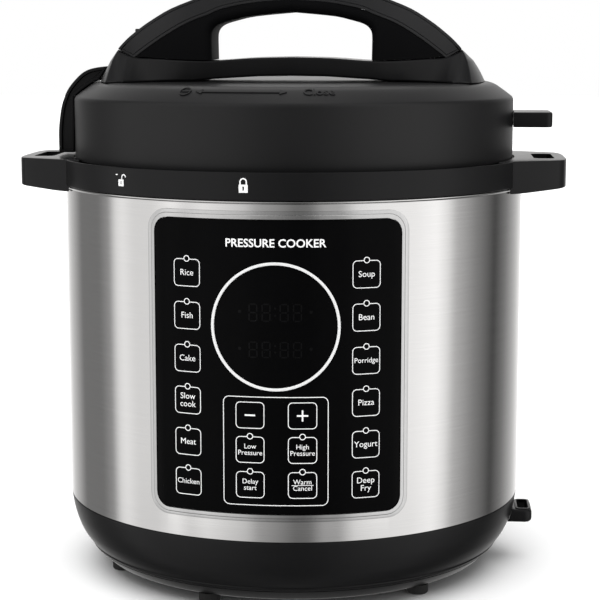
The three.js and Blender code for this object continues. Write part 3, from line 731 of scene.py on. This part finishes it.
brushed_steel = metal(
    "brushed_steel", (0.68, 0.675, 0.672, 1), (0.82, 0.815, 0.81, 1), (0.08, 0.14),
    (25, 25, 2600), 0.000008,
)
shell_sheet = turned(
    [
        [138, 45.9], [139, 45.9, 0.2], [139, 234.4, 0.3], [139.7, 235.1, 0.3],
        [139.7, 235.7, 0.2], [139.2, 236], [138, 236],
    ],
    256,
)
shell_window = thickened(plan_face(box_points(-62, 62, 70.3, 218.1, 8)), z=120)
shifted(rotated(shell_window, 90), y=-60)
fitted(
    "steel_shell_sheet", carved(shell_sheet, [shell_window]), brushed_steel, "root",
    ["steel_shell"],
)

# ---------------------------------------------------------------- collar and carrying handles
# One black moulding caps the steel drum. Its band carries the lock marks, and a thick handle
# with a through slot stands out on each side.

COLLAR_TOP = 251.8
EAR_HALF = [
    [118, 56], [134, 49.5, 5], [147, 43.5, 5], [155.5, 39, 4], [161.5, 35, 4], [164, 28, 4],
    [165, 16, 5],
]
EAR_SIDE = [[100, 232.8], [136, 232.8, 4], [165, 235.4], [165, COLLAR_TOP], [100, COLLAR_TOP]]


def upright_face(points):
    """A flat face across the front, from [width, height, rounding] points."""
    return rotated(plan_face(points), 90)


def mirrored(shape):
    """The left-hand copy of a right-hand shape."""
    bmesh.ops.scale(shape, verts=shape.verts[:], vec=(-1, 1, 1))
    bmesh.ops.reverse_faces(shape, faces=shape.faces[:])
    return shape


def collar_handle():
    """One carrying handle: a block with a rounded plan, cut by the slot, the lid and the drum."""
    plan = [[x, -y, *corner] for x, y, *corner in EAR_HALF] + list(reversed(EAR_HALF))
    wedge = thickened(shifted(upright_face(EAR_SIDE), y=70), y=-140)
    block = softened(carved(slab(plan, 230, COLLAR_TOP), [wedge], "INTERSECT"), 1.3, 50)
    slot = slab(box_points(145.5, 157.8, -21, 21, 4), 220, 260)
    throat = rod(132, 220, 260, steps=192)
    lid_well = rod(134.6, 250, 260, steps=192)
    drum = rod(139.8, 220, 236.3, steps=192)
    return softened(carved(block, [slot, throat, lid_well, drum]), 0.5, 60, 2)


collar_band = turned(
    [
        [132, 236.3], [141, 236.3, 0.6], [141, COLLAR_TOP, 0.5], [134.8, 250.6, 0.3],
        [134.4, 250.0, 0.3], [132, 250.0],
    ],
    256,
)
fitted(
    "upper_collar_moulding", joined([collar_band, collar_handle(), mirrored(collar_handle())]),
    satin_plastic, "root", ["upper_collar"],
)

# ---------------------------------------------------------------- control panel
# A black film under clear lacquer lies in a bright pressed frame on a curved plastic carrier.
# A thin silver ring is set round the display window.

FILM_R = 139.6  # radius at which the panel's widths are measured
PANEL_HEIGHTS = (57.8, 230.6)


def sliced(shape, places, normal=(1, 0, 0)):
    """Cuts new edges across a shape at places in millimetres along a direction."""
    for place in places:
        bmesh.ops.bisect_plane(
            shape, geom=shape.verts[:] + shape.edges[:] + shape.faces[:],
            plane_co=[place * MM * part for part in normal], plane_no=normal, dist=1e-7,
        )


def rolled(shape, pitch=2.0, radius=FILM_R):
    """Rolls a flat front shape round the drum. Its depth towards -Y is its height off the film."""
    widths = [vert.co.x / MM for vert in shape.verts]
    first, last = math.ceil(min(widths) / pitch), math.floor(max(widths) / pitch)
    sliced(shape, [cut * pitch for cut in range(first, last + 1)])
    for vert in shape.verts:
        angle = vert.co.x / (radius * MM)
        reach = radius * MM - vert.co.y
        vert.co.x = reach * math.sin(angle)
        vert.co.y = -reach * math.cos(angle)
    bmesh.ops.recalc_face_normals(shape, faces=shape.faces[:])
    return shape


def panel_plate(half_width, low, high, corner, inner, outer):
    """A flat rounded plate that stands between two radii once it is rolled."""
    face = shifted(
        upright_face(box_points(-half_width, half_width, low, high, corner)), y=FILM_R - inner
    )
    return thickened(face, y=inner - outer)


frame_land = softened(panel_plate(75.8, *PANEL_HEIGHTS, 11.5, 139.3, 140.2), 0.4, 40, 2)
frame_lip = softened(panel_plate(73.3, 59.6, 228.8, 10.2, 139.3, 141), 0.8, 40, 5)
frame_opening = panel_plate(70.9, 62, 226.4, 8.5, 130, 150)
panel_frame = carved(carved(frame_land, [frame_lip], "UNION"), [frame_opening])
bezel_metal = metal(
    "bezel_metal", (0.54, 0.54, 0.54, 1), (0.68, 0.68, 0.68, 1), (0.1, 0.17), (900, 900, 300),
    0.000003,
)
fitted(
    "panel_bezel_frame", rolled(panel_frame), bezel_metal, "root", ["panel_bezel"]
)

panel_film = moulded(
    "panel_film", (0.0012, 0.0012, 0.0013, 1), (0.0022, 0.0022, 0.0024, 1), (0.08, 0.14), 300.0,
    0.000002, 0.03,
)
film_plate = softened(panel_plate(70.6, 62.3, 226.1, 8.3, 139.3, 140.6), 0.3, 40, 2)
fitted(
    "control_panel_film", rolled(film_plate), panel_film, "root", ["control_panel"],
)

dial_ring = turned(
    [
        [34.0, 0], [34.0, 0.6, 0.25], [34.5, 0.78, 0.2], [35.1, 0.78, 0.2], [35.6, 0.6, 0.25],
        [35.6, 0],
    ],
    160,
)
shifted(rotated(dial_ring, 90), y=FILM_R - 140.7, z=167.5)
ring_silver = moulded(
    "ring_silver", (0.66, 0.66, 0.66, 1), (0.76, 0.76, 0.76, 1), (0.2, 0.3), 1200.0, 0.000003, 0.8
)
fitted(
    "display_ring_chromed", rolled(dial_ring), ring_silver, "root", ["display_ring"],
)
dressed(satin_plastic, "panel_carrier")

# ---------------------------------------------------------------- printed marks
# The keys are printed on the film in white: a rounded frame with an indicator ring on its top
# edge and a plain cooking word. The digits of the display are unlit grey bars.

PRINT_LIFT = 1.02  # above the film's reference radius
PRINT_T = 0.05
LINE = 0.42  # line width of the printed frames
LAMP_R = 1.8
KEY_WIDTH = 16.0
KEY_ANGLE = 20.6
INNER_ANGLES = (-5.75, 6.1)
INNER_HEIGHT = 15.0
SIGN_Z = 118.2
LONG_WORDS = {"Chicken": 4.2, "Porridge": 4.0}  # set smaller than the rest
KEY_CENTRES = (195.9, 172.1, 148.1, 124.5, 101.0, 78.3)
LEFT_WORDS = ("Rice", "Fish", "Cake", "Slow\ncook", "Meat", "Chicken")
RIGHT_WORDS = ("Soup", "Bean", "Porridge", "Pizza", "Yogurt", "Deep\nFry")
INNER_WORDS = {
    98.8: ("Low\nPressure", "High\nPressure"),
    79.0: ("Delay\nstart", "Warm\nCancel"),
}


def film_x(degrees):
    """The width along the film of an angle from the front."""
    return FILM_R * math.radians(degrees)


def frame_mark(x0, x1, z0, z1, corner, line, lift=PRINT_LIFT):
    """A rounded frame printed in one line width."""
    face = upright_face(box_points(x0, x1, z0, z1, corner))
    bmesh.ops.inset_region(
        face, faces=face.faces[:], thickness=line * MM, use_boundary=True, use_even_offset=True
    )
    middle = max(face.faces, key=lambda f: f.calc_area() if len(f.verts) > 8 else 0)
    bmesh.ops.delete(face, geom=[middle], context="FACES")
    return thickened(shifted(face, y=-lift), y=-PRINT_T)


def ring_mark(x, z, outer, line, lift=PRINT_LIFT):
    """A small printed ring."""
    inner = outer - line
    ring = turned([[inner, 0], [outer, 0], [outer, PRINT_T], [inner, PRINT_T]], 24)
    return shifted(rotated(ring, 90), x, -lift, z)


def bar_mark(x0, x1, z0, z1, lift=PRINT_LIFT, corner=0):
    """A printed bar."""
    face = upright_face(box_points(x0, x1, z0, z1, corner))
    return thickened(shifted(face, y=-lift), y=-PRINT_T)


def word_mark(words, size, x, z, lift=PRINT_LIFT, bold=0.0):
    """Words printed on the film, centred on a point."""
    letters = bpy.data.curves.new("letters", "FONT")
    letters.body = words
    letters.size = size * MM
    letters.align_x = "CENTER"
    letters.align_y = "CENTER"
    letters.space_line = 0.92
    letters.resolution_u = 3
    letters.offset = bold * MM
    holder = bpy.data.objects.new("letters", letters)
    bpy.context.scene.collection.objects.link(holder)
    bpy.context.view_layer.update()
    made = bpy.data.meshes.new_from_object(
        holder.evaluated_get(bpy.context.evaluated_depsgraph_get())
    )
    shape = bmesh.new()
    shape.from_mesh(made)
    bpy.data.meshes.remove(made)
    bpy.data.objects.remove(holder)
    bpy.data.curves.remove(letters)
    bmesh.ops.remove_doubles(shape, verts=shape.verts[:], dist=1e-6)
    return thickened(shifted(rotated(shape, 90), x, -lift, z), y=-PRINT_T)


white_print = moulded(
    "white_print", (0.78, 0.78, 0.78, 1), (0.9, 0.9, 0.9, 1), (0.45, 0.6), 900.0, 0.000004
)
unlit_segments = moulded(
    "unlit_segments", (0.0026, 0.0026, 0.0028, 1), (0.0042, 0.0042, 0.0045, 1), (0.12, 0.2),
    900.0, 0.000002, 0.08,
)

key_marks = []
masks = []


def key_mark(x, z, words, size=None, height=15.4):
    """One key: its frame and, where it has a word, the word and a lamp ring on its top edge."""
    low, high = z - height / 2, z + height / 2
    key_marks.append(frame_mark(x - KEY_WIDTH / 2, x + KEY_WIDTH / 2, low, high, 2.6, LINE))
    if words:
        masks.append(bar_mark(x - 1.5, x + 1.5, high - 1.5, high + 1.4, PRINT_LIFT + 0.02, 1.2))
        key_marks.append(ring_mark(x, high + 0.1, LAMP_R, 0.45, PRINT_LIFT + 0.06))
        key_marks.append(word_mark(words, size, x, z))


for side, words in ((-1, LEFT_WORDS), (1, RIGHT_WORDS)):
    for key_z, word in zip(KEY_CENTRES, words):
        key_mark(film_x(side * KEY_ANGLE), key_z, word, LONG_WORDS.get(word, 4.8))
for key_z, words in INNER_WORDS.items():
    for key_angle, word in zip(INNER_ANGLES, words):
        key_mark(film_x(key_angle), key_z, word, 3.9, INNER_HEIGHT)
for key_angle in INNER_ANGLES:
    key_mark(film_x(key_angle), SIGN_Z, None, height=INNER_HEIGHT)
minus_x, plus_x = (film_x(key_angle) for key_angle in INNER_ANGLES)
group_x = film_x(11.95)
key_marks.append(bar_mark(minus_x - 2.9, minus_x + 2.9, SIGN_Z - 0.45, SIGN_Z + 0.45))
key_marks.append(bar_mark(plus_x - 3.1, plus_x + 3.1, SIGN_Z - 0.45, SIGN_Z + 0.45))
key_marks.append(
    bar_mark(plus_x - 0.45, plus_x + 0.45, SIGN_Z - 3.1, SIGN_Z + 3.1, PRINT_LIFT + 0.01)
)
key_marks.append(bar_mark(plus_x - 6.0, plus_x + 6.0, 78.85, 79.15))
key_marks.append(frame_mark(-group_x, group_x, 67.3, 128.7, 3.4, LINE))
key_marks.append(word_mark("PRESSURE COOKER", 6.3, 0, 213.2, bold=0.1))
fitted(
    "panel_print_white", rolled(joined(key_marks)), white_print, "root",
    crease=60,
)
fitted(
    "panel_print_masks", rolled(joined(masks)), panel_film, "root",
    crease=60,
)

DIGIT_H = 10.1
DIGIT_PLACES = (-14.6, -7.4, 2.4, 9.6)
SEGMENT_BARS = {
    "top": (0.9, 4.1, 9.3, DIGIT_H),
    "middle": (0.9, 4.1, 4.65, 5.45),
    "bottom": (0.9, 4.1, 0, 0.8),
    "upper_left": (0, 0.8, 5.5, 9.5),
    "upper_right": (4.2, 5.0, 5.5, 9.5),
    "lower_left": (0, 0.8, 0.6, 4.6),
    "lower_right": (4.2, 5.0, 0.6, 4.6),
}
digit_marks = []
for row_low, digit_h in ((170.3, DIGIT_H), (150.3, 9.1)):
    tall = digit_h / DIGIT_H
    for digit_x in DIGIT_PLACES:
        for x0, x1, z0, z1 in SEGMENT_BARS.values():
            low, high = row_low + z0 * tall, row_low + z1 * tall
            digit_marks.append(bar_mark(digit_x + x0, digit_x + x1, low, high, corner=0.3))
    for share in (0.3, 0.68):
        low = row_low + digit_h * share
        digit_marks.append(bar_mark(-0.5, 0.5, low, low + 1.0, corner=0.3))
for dot_x in (-19.5, 19.5):
    for dot_z in (174.9, 154.4):
        digit_marks.append(bar_mark(dot_x - 0.9, dot_x + 0.9, dot_z, dot_z + 1.8, corner=0.8))
fitted(
    "display_digits_unlit", rolled(joined(digit_marks)), unlit_segments, "root",
    crease=60,
)

# ---------------------------------------------------------------- lock marks
# Two small padlocks are pad printed on the collar in white ink. They show where the lid's
# arrow stands when the lid is open and when it is locked.

COLLAR_LIFT = 141.02
MARK_Z = 244.7


def padlock(x, z, scale, is_open):
    """A padlock picture: a solid body with a keyhole gap and a shackle above."""

    def block(left, right, low, high, corner=0, middle=x):
        return bar_mark(
            middle + left * scale, middle + right * scale, z + low * scale, z + high * scale, 0,
            corner,
        )

    parts = [
        block(-2.5, -0.45, -4, 0.4, 0.3), block(0.45, 2.5, -4, 0.4, 0.3),
        block(-0.5, 0.5, -4, -2.8), block(-0.5, 0.5, -0.6, 0.4),
    ]
    bow_x = x + 2.6 * scale if is_open else x
    shackle = ring_mark(bow_x, z + 1.9 * scale, 2.1 * scale, 0.75 * scale, 0)
    bmesh.ops.bisect_plane(
        shackle, geom=shackle.verts[:] + shackle.edges[:] + shackle.faces[:],
        plane_co=(0, 0, (z + 1.9 * scale) * MM), plane_no=(0, 0, -1), clear_outer=True,
    )
    bmesh.ops.holes_fill(shackle, edges=[e for e in shackle.edges if e.is_boundary], sides=0)
    parts += [shackle, block(-2.1, -1.35, 0.3, 1.9, middle=bow_x)]
    if not is_open:
        parts.append(block(1.35, 2.1, 0.3, 1.9, middle=bow_x))
    return parts


open_x = COLLAR_LIFT * math.radians(-39.4)
lock_x = COLLAR_LIFT * math.radians(-7.0)
collar_marks = (
    padlock(open_x + 0.8, MARK_Z, 0.86, True)
    + padlock(lock_x, MARK_Z, 1.0, False)
    + [bar_mark(open_x - 3.6, open_x - 2.0, MARK_Z + 2.6, MARK_Z + 3.2, 0)]
)
fitted(
    "collar_lock_marks", rolled(joined(collar_marks), radius=COLLAR_LIFT), white_print, "root",
    crease=60,
)

# ---------------------------------------------------------------- inner pot
# The cooking pot is a pressed stainless bowl with a rolled rim, polished inside.
# It lifts out of the outer pot by that rim.

pot_bowl = turned(
    [
        [0, 74], [96, 74, 3], [107, 78, 5], [111.6, 88, 5], [111.6, 246.3, 0.6],
        [118, 246.3, 0.7], [118, 248, 0.7], [110, 248, 1.4], [110, 88.6, 5], [106, 79.6, 5],
        [95.6, 75.6, 3], [0, 75.6],
    ]
)
fitted("inner_pot_bowl", pot_bowl, polished_steel, "root", ["inner_pot"])

# ---------------------------------------------------------------- condensation cup
# A small clear plastic cup slides on rails into a black bracket at the back of the collar
# and catches the water that runs off the lid.

bracket = softened(slab(box_points(-29, 29, 139.6, 163, 2), 219, 233.5), 0.8)
bracket_bay = slab(box_points(-26.8, 26.8, 141.4, 200), 223.4, 230.6)
bracket_throat = slab(box_points(-23.6, 23.6, 141.4, 200), 200, 224)
fitted(
    "cup_bracket_rails", softened(carved(bracket, [bracket_bay, bracket_throat]), 0.3, 60, 2),
    satin_plastic, "root", ["condensation_cup_bracket"],
)

cup_plastic = moulded(
    "cup_plastic", (0.72, 0.76, 0.78, 1), (0.84, 0.87, 0.88, 1), (0.12, 0.22), 600.0, 0.000006,
    also={"IOR": 1.5, "Transmission Weight": 0.85},
)
cup_bucket = softened(slab(box_points(-23, 23, 142, 164, 5), 184, 229), 1.0)
cup_lip = softened(slab(box_points(-26.3, 26.3, 142, 164, 3), 225, 229), 0.5)
cup_hollow = softened(slab(box_points(-21.4, 21.4, 143.6, 162.4, 3.6), 185.6, 240), 1.0)
fitted(
    "condensation_cup_clear", carved(carved(cup_bucket, [cup_lip], "UNION"), [cup_hollow]),
    cup_plastic, "cup", ["condensation_cup"],
)

# ---------------------------------------------------------------- sealing ring
# A ring of milky silicone on a wire rack under the lid, with a soft lip that presses
# on the inner pot's rim.

silicone_rubber = moulded(
    "silicone_rubber", (0.6, 0.6, 0.57, 1), (0.72, 0.72, 0.69, 1), (0.5, 0.65), 500.0, 0.00001,
    also={"Subsurface Weight": 0.25, "Subsurface Scale": 0.004},
)
seal_ring = turned(
    [
        [108.6, 260, 0.6], [108.6, 254, 0.6], [110.4, 252.6, 0.5], [112, 249.2, 0.5],
        [116, 248.3, 0.8], [120.4, 250, 0.8], [121, 260, 0.6],
    ]
)
fitted("sealing_ring_silicone", seal_ring, silicone_rubber, "seal", ["sealing_ring"])

# ---------------------------------------------------------------- lid plate and valves
# The pressed steel underside of the lid has six claws that lock under the outer pot's teeth.
# The vent tube with its shield, and the float valve, pass through it.

VENT = (-72, 60)
FLOAT = (66, 56)
lid_pressing = turned(
    [
        [0, 272], [103, 272, 2], [107, 262, 2], [125.8, 262, 2], [130, 257, 2],
        [130, 239.5, 0.3], [128.4, 239.5, 0.3], [128.4, 256.4, 1], [125, 260.4, 1],
        [106, 260.4, 1], [102, 270.4, 1], [0, 270.4],
    ]
)
lid_claws = [tooth(128.0, 129, 239.5, 242.4, index * 360 / TEETH) for index in range(TEETH)]
lid_holes = [rod(5.3, 255, 280, *VENT), rod(4, 255, 280, *FLOAT)]
fitted(
    "lid_plate_pressing", joined([carved(lid_pressing, lid_holes), *lid_claws]), polished_steel,
    "lid", ["lid_plate"],
)
dressed(
    zinc, "plate_stud_1", "plate_stud_2", "plate_stud_3", "saddle_screw_left",
    "saddle_screw_right",
)
dressed(polished_steel, "ring_rack", "anti_block_shield")
vent_pipe = turned([[2, 262, 0.3], [5, 262, 0.5], [5, 311, 0.8], [2, 311, 0.5]], 48)
fitted(
    "vent_tube_pipe", shifted(vent_pipe, *VENT), polished_steel, "lid", ["vent_tube"],
)
float_pin = turned(
    [
        [0, 259.5], [6, 259.5, 0.4], [6.6, 260.4, 0.3], [6.6, 262.6, 0.4], [3.5, 262.6],
        [3.5, 297.6, 0.5], [2.9, 298.2, 0.4], [0, 298.2],
    ],
    48,
)
fitted(
    "float_valve_pin", shifted(float_pin, *FLOAT), polished_steel, "float", ["float_valve"],
)
dressed(silicone_rubber, "float_gasket")

# ---------------------------------------------------------------- lid shell
# The lid's outer moulding: a straight wall, a soft shoulder and a sloping rim round a flat top.
# Low raised marks on the slope show which way it turns.

lid_plastic = moulded(
    "lid_plastic", PLASTIC_DARK, PLASTIC_LIGHT, (0.36, 0.44), 1500.0, 0.00003, 0.32
)
lid_cap = turned(
    [
        [0, 297], [120, 297, 4], [128.6, 291.2, 4], [133.4, 287.4, 1.6], [133.3, 250.9, 0.3],
        [132.7, 250.9, 0.2], [132.7, 253.5, 0.3], [130.7, 253.5, 0.4], [130.7, 285.6, 2],
        [126.6, 289, 2], [120, 294.4, 2], [0, 294.4],
    ],
    256,
)
SLOPE_MIDDLE = (124.6, 294.1)  # radius and height at the middle of the slope
SLOPE_LEAN = -56
RELIEF = 0.45
SYMBOL_ANGLE = -24.5
ARROW_ANGLE = -9.5
CLOSE_ANGLE = 10.5
lid_cuts = [
    rod(5.6, 280, 310, *VENT), rod(4.2, 280, 310, *FLOAT), rod(2.2, 280, 310, -72, 0),
    rod(2.2, 280, 310, 72, 0),
]


def on_slope(shape, degrees):
    """Lays a flat mark, drawn upright at the front, on the lid's slope at an angle round it."""
    reach, height = SLOPE_MIDDLE
    sliced(shape, range(-26, 27, 2))
    bmesh.ops.scale(shape, verts=shape.verts[:], vec=(1, RELIEF / PRINT_T, 1))
    rotated(shifted(shape, y=0.12), SLOPE_LEAN)
    for vert in shape.verts:
        turn = vert.co.x / (reach * MM) + math.radians(degrees)
        out = reach * MM - vert.co.y
        vert.co = (out * math.sin(turn), -out * math.cos(turn), vert.co.z + height * MM)
    return shape


slope_marks = [
    on_slope(ring_mark(0, 0, 3.6, 0.7, 0), SYMBOL_ANGLE),
    on_slope(bar_mark(-2.0, 2.0, -0.4, 0.4, 0), SYMBOL_ANGLE),
    on_slope(bar_mark(-23, 23, -0.5, 0.5, 0), ARROW_ANGLE),
]
for tip in (-1, 1):
    arrow = upright_face([[tip * 26, 0], [tip * 22, 2.0], [tip * 22, -2.0]])
    slope_marks.append(on_slope(thickened(arrow, y=-PRINT_T), ARROW_ANGLE))
slope_marks.append(on_slope(word_mark("Close", 7.5, 0, 0, 0, bold=0.15), CLOSE_ANGLE))
fitted(
    "lid_slope_marks", joined(slope_marks), lid_plastic, "lid", crease=50,
)
fitted(
    "lid_shell_moulding", carved(lid_cap, lid_cuts), lid_plastic, "lid", ["lid_shell"],
)

# ---------------------------------------------------------------- steam release handle
# A black knob seated loosely over the vent tube, with a flat finger lever.
# Turning the lever lifts it off its seat and lets the steam out.

release_hub = turned(
    [
        [5.4, 297.8], [13, 297.8, 0.6], [13, 311, 1.2], [11.5, 319, 0.8], [0, 319], [0, 313.5],
        [5.4, 313.5],
    ],
    72,
)
lever_plan = [
    [-35, -6, 5], [2, -8.5, 5], [12.6, -8.5, 7], [12.6, 8.5, 7], [2, 8.5, 5], [-35, 6, 5],
]
release_lever = softened(slab(lever_plan, 314.5, 328.5), 1.6, 50)
fitted(
    "steam_release_knob", shifted(joined([release_hub, release_lever]), *VENT), satin_plastic,
    "steam_release", ["steam_release_handle"],
)

# ---------------------------------------------------------------- lid handle
# An arched grip across the lid in three mouldings: a base that flares into the lid's shoulder,
# a core with the finger opening, and a satin cover over the arch.

HANDLE_TONE_DARK = (0.0135, 0.0135, 0.0142, 1)
HANDLE_TONE_LIGHT = (0.0185, 0.0185, 0.0195, 1)
HANDLE_HALF = 22  # half width at the middle of the arch
GRIP_TOP = 338.6  # just above the finger opening
HANDLE_PLAN = [
    (0, 22), (30, 22.5), (48, 24), (60, 26), (70, 29), (80, 33.2), (90, 38), (97, 40.4),
    (118.5, 42),
]
FOOT_PLAN = [(0, 22), (52, 24.6), (66, 28), (76, 33.5), (86, 43), (93, 53), (98, 59), (118.5, 61)]
ARCH_TOP = [
    (0, 357), (33, 353.6), (66, 342.6), (82, 333.6), (93.6, 324.6), (99.7, 318.6),
    (101.2, 316.6),
]
ARCH_SEAM = [
    (0, 345.3), (20, 344.2), (40, 340.6), (50.1, 336.6), (62.9, 331.4), (77.6, 322.4),
    (92.2, 311.4),
]


def flowing(points, steps=5):
    """More points along a smooth line through the given ones."""
    line = [Vector((x, z, 0)) for x, z in points]
    made = []
    for index in range(len(line) - 1):
        before = line[max(index - 1, 0)]
        start, end = line[index], line[index + 1]
        after = line[min(index + 2, len(line) - 1)]
        made += interpolate_bezier(
            start, start + (end - before) / 6, end - (after - start) / 6, end, steps
        )[:-1]
    return [[p.x, p.y] for p in made] + [[line[-1].x, line[-1].y]]


def both_sides(half):
    """A line from the middle outwards, carried over to the other side as well."""
    return [[-x, z] for x, z in reversed(half) if x > 1e-6] + [list(p) for p in half]


def width_at(plan, x):
    """A plan's half width at a distance from the handle's middle."""
    reach = min(abs(x), plan[-1][0])
    for (x0, w0), (x1, w1) in zip(plan, plan[1:]):
        if reach <= x1:
            return w0 + (w1 - w0) * (reach - x0) / (x1 - x0)
    return plan[-1][1]


HANDLE_LINE = flowing(HANDLE_PLAN, 8)
FOOT_LINE = flowing(FOOT_PLAN, 8)


def section_block(points, edge, groove=None, shy=0.0, mouth=None):
    """A front outline made as deep as the handle, its side edges rounded, then widened to plan."""
    block = thickened(shifted(upright_face(points), y=HANDLE_HALF), y=-2 * HANDLE_HALF)
    rims = [
        e
        for e in block.edges
        if any(abs(f.normal.y) > 0.9 for f in e.link_faces) and e.calc_face_angle(0) > 0.5
    ]
    if mouth:
        rims = [e for e in rims if min(v.co.x for v in e.verts) > -mouth * MM]
        rims = [e for e in rims if max(v.co.x for v in e.verts) < mouth * MM]
        rims = [e for e in rims if max(v.co.z for v in e.verts) < GRIP_TOP * MM]
    bmesh.ops.bevel(
        block, geom=rims, offset=edge * MM, offset_type="OFFSET", affect="EDGES", segments=6,
        profile=0.5, clamp_overlap=True, material=-1,
    )
    if groove:
        for cheek in [f for f in block.faces if abs(f.normal.y) > 0.99 and len(f.verts) > 10]:
            bmesh.ops.inset_region(block, faces=[cheek], thickness=groove * MM, depth=0)
            bmesh.ops.inset_region(block, faces=[cheek], thickness=0.3 * MM, depth=-0.35 * MM)
            bmesh.ops.inset_region(block, faces=[cheek], thickness=0.3 * MM, depth=0.35 * MM)
    sliced(block, range(-128, 129, 4))
    for vert in block.verts:
        widen = (width_at(HANDLE_LINE, vert.co.x / MM) - HANDLE_HALF - shy) * MM
        if abs(vert.co.y) > 0.6 * HANDLE_HALF * MM:
            vert.co.y += math.copysign(widen, vert.co.y)
    return tidied(block)


handle_plastic = moulded(
    "handle_plastic", HANDLE_TONE_DARK, HANDLE_TONE_LIGHT, (0.34, 0.44), 1500.0, 0.00003, 0.3
)
cover_points = both_sides(flowing(ARCH_TOP)) + list(reversed(both_sides(flowing(ARCH_SEAM))))
fitted(
    "lid_handle_cover_arch", section_block(cover_points, 1.6, groove=1.1), handle_plastic,
    "lid", ["lid_handle_cover"],
)

core_plastic = moulded(
    "core_plastic", PLASTIC_DARK, PLASTIC_LIGHT, (0.5, 0.6), 1500.0, 0.00004, 0.02
)
core_crown = [(x - 0.05 if x else 0, z - 0.06) for x, z in ARCH_SEAM]
CORE_FOOT = [(91.2, 312.2), (80, 311.2), (66, 310.2), (48, 309.8)]
CORE_ROOF = [(48.2, 322), (47.6, 327), (44, 330.8), (36, 333.4), (24, 336), (0, 338.3)]
core_half = flowing(core_crown)
core_under = [list(p) for p in CORE_FOOT] + flowing(CORE_ROOF)
core_points = [[-x, z] for x, z in reversed(core_half[1:])] + core_half + core_under
core_points += [[-x, z] for x, z in reversed(core_under[:-1])]
fitted(
    "lid_handle_core_grip", section_block(core_points, 5.4, shy=0.5, mouth=49), core_plastic,
    "lid", ["lid_handle_core"],
)

SADDLE_TOP = [
    (0, 311.6), (24, 311.0), (48, 309.4), (66, 309.8), (80, 310.8), (92, 311.8), (101.8, 316.1),
]
SADDLE_END = [(109, 309.5), (114.5, 302.6), (118, 297.3)]
SADDLE_UNDER = [(60, 297.3), (46, 298.6), (20, 300.2), (0, 300.4)]
saddle_half = flowing(SADDLE_TOP) + [list(p) for p in SADDLE_END] + [list(p) for p in SADDLE_UNDER]
saddle_points = saddle_half + [[-x, z] for x, z in reversed(saddle_half[1:-1])]


def flared(block):
    """Spreads the foot of the base piece and rounds its ends about the lid's axis."""
    sliced(block, range(-56, 57, 7), (0, 1, 0))
    for vert in block.verts:
        x, y, z = (c / MM for c in vert.co)
        low = max(0.0, min(1.0, (316 - z) / 18.7))
        spread = width_at(FOOT_LINE, x) - width_at(HANDLE_LINE, x)
        y += math.copysign(spread * low**1.4, y) * min(1.0, abs(y) / 25)
        reach = math.hypot(x, y)
        roll = 3 + 11 * low
        inner = 110 + 10.5 * low - roll
        if reach > inner:
            drawn_in = (inner + roll * math.tanh((reach - inner) / roll)) / reach
            x, y = x * drawn_in, y * drawn_in
        vert.co = (x * MM, y * MM, z * MM)
    return tidied(block)


fitted(
    "handle_saddle_base", flared(section_block(saddle_points, 1.4)), satin_plastic, "lid",
    ["handle_saddle"],
)

# ---------------------------------------------------------------- lid stand arm and tab
# A curved arm on the left and a flat tab on the right drop into a carrying handle's slot,
# so that the lid can stand on edge beside the pot. The arm is ribbed with a channel.

ARM_OUTER = [
    (-143.4, 253.5), (-143.4, 267), (-141.9, 279.2), (-140, 286), (-136.6, 293), (-130, 300.4),
    (-124.6, 303.8), (-118.4, 305.3), (-112.7, 305.9),
]
ARM_INNER = [
    (-116.6, 300.2), (-118.4, 297.3), (-121.0, 296.9), (-128.9, 291.5), (-133.8, 287.5),
    (-133.7, 253.5),
]
arm_points = flowing(ARM_OUTER) + [list(p) for p in ARM_INNER]
arm = thickened(shifted(upright_face(arm_points), y=13), y=-26)
arm = softened(arm, 1.0, 60, 3)
for cheek in [f for f in arm.faces if abs(f.normal.y) > 0.99 and len(f.verts) > 10]:
    bmesh.ops.inset_region(arm, faces=[cheek], thickness=1.3 * MM, depth=0)
    bmesh.ops.inset_region(arm, faces=[cheek], thickness=0.5 * MM, depth=-2.0 * MM)
fitted("lid_stand_arm_rib", tidied(arm), satin_plastic, "lid", ["lid_stand_arm"])

tab = softened(slab([[126, -18], [156.4, -18, 4], [156.4, 18, 4], [126, 18]], 270, 279), 1.0, 50)
fitted(
    "lid_stand_tab_tongue", carved(tab, [rod(134.1, 250, 300, steps=192)]), satin_plastic,
    "lid", ["lid_stand_tab"],
)
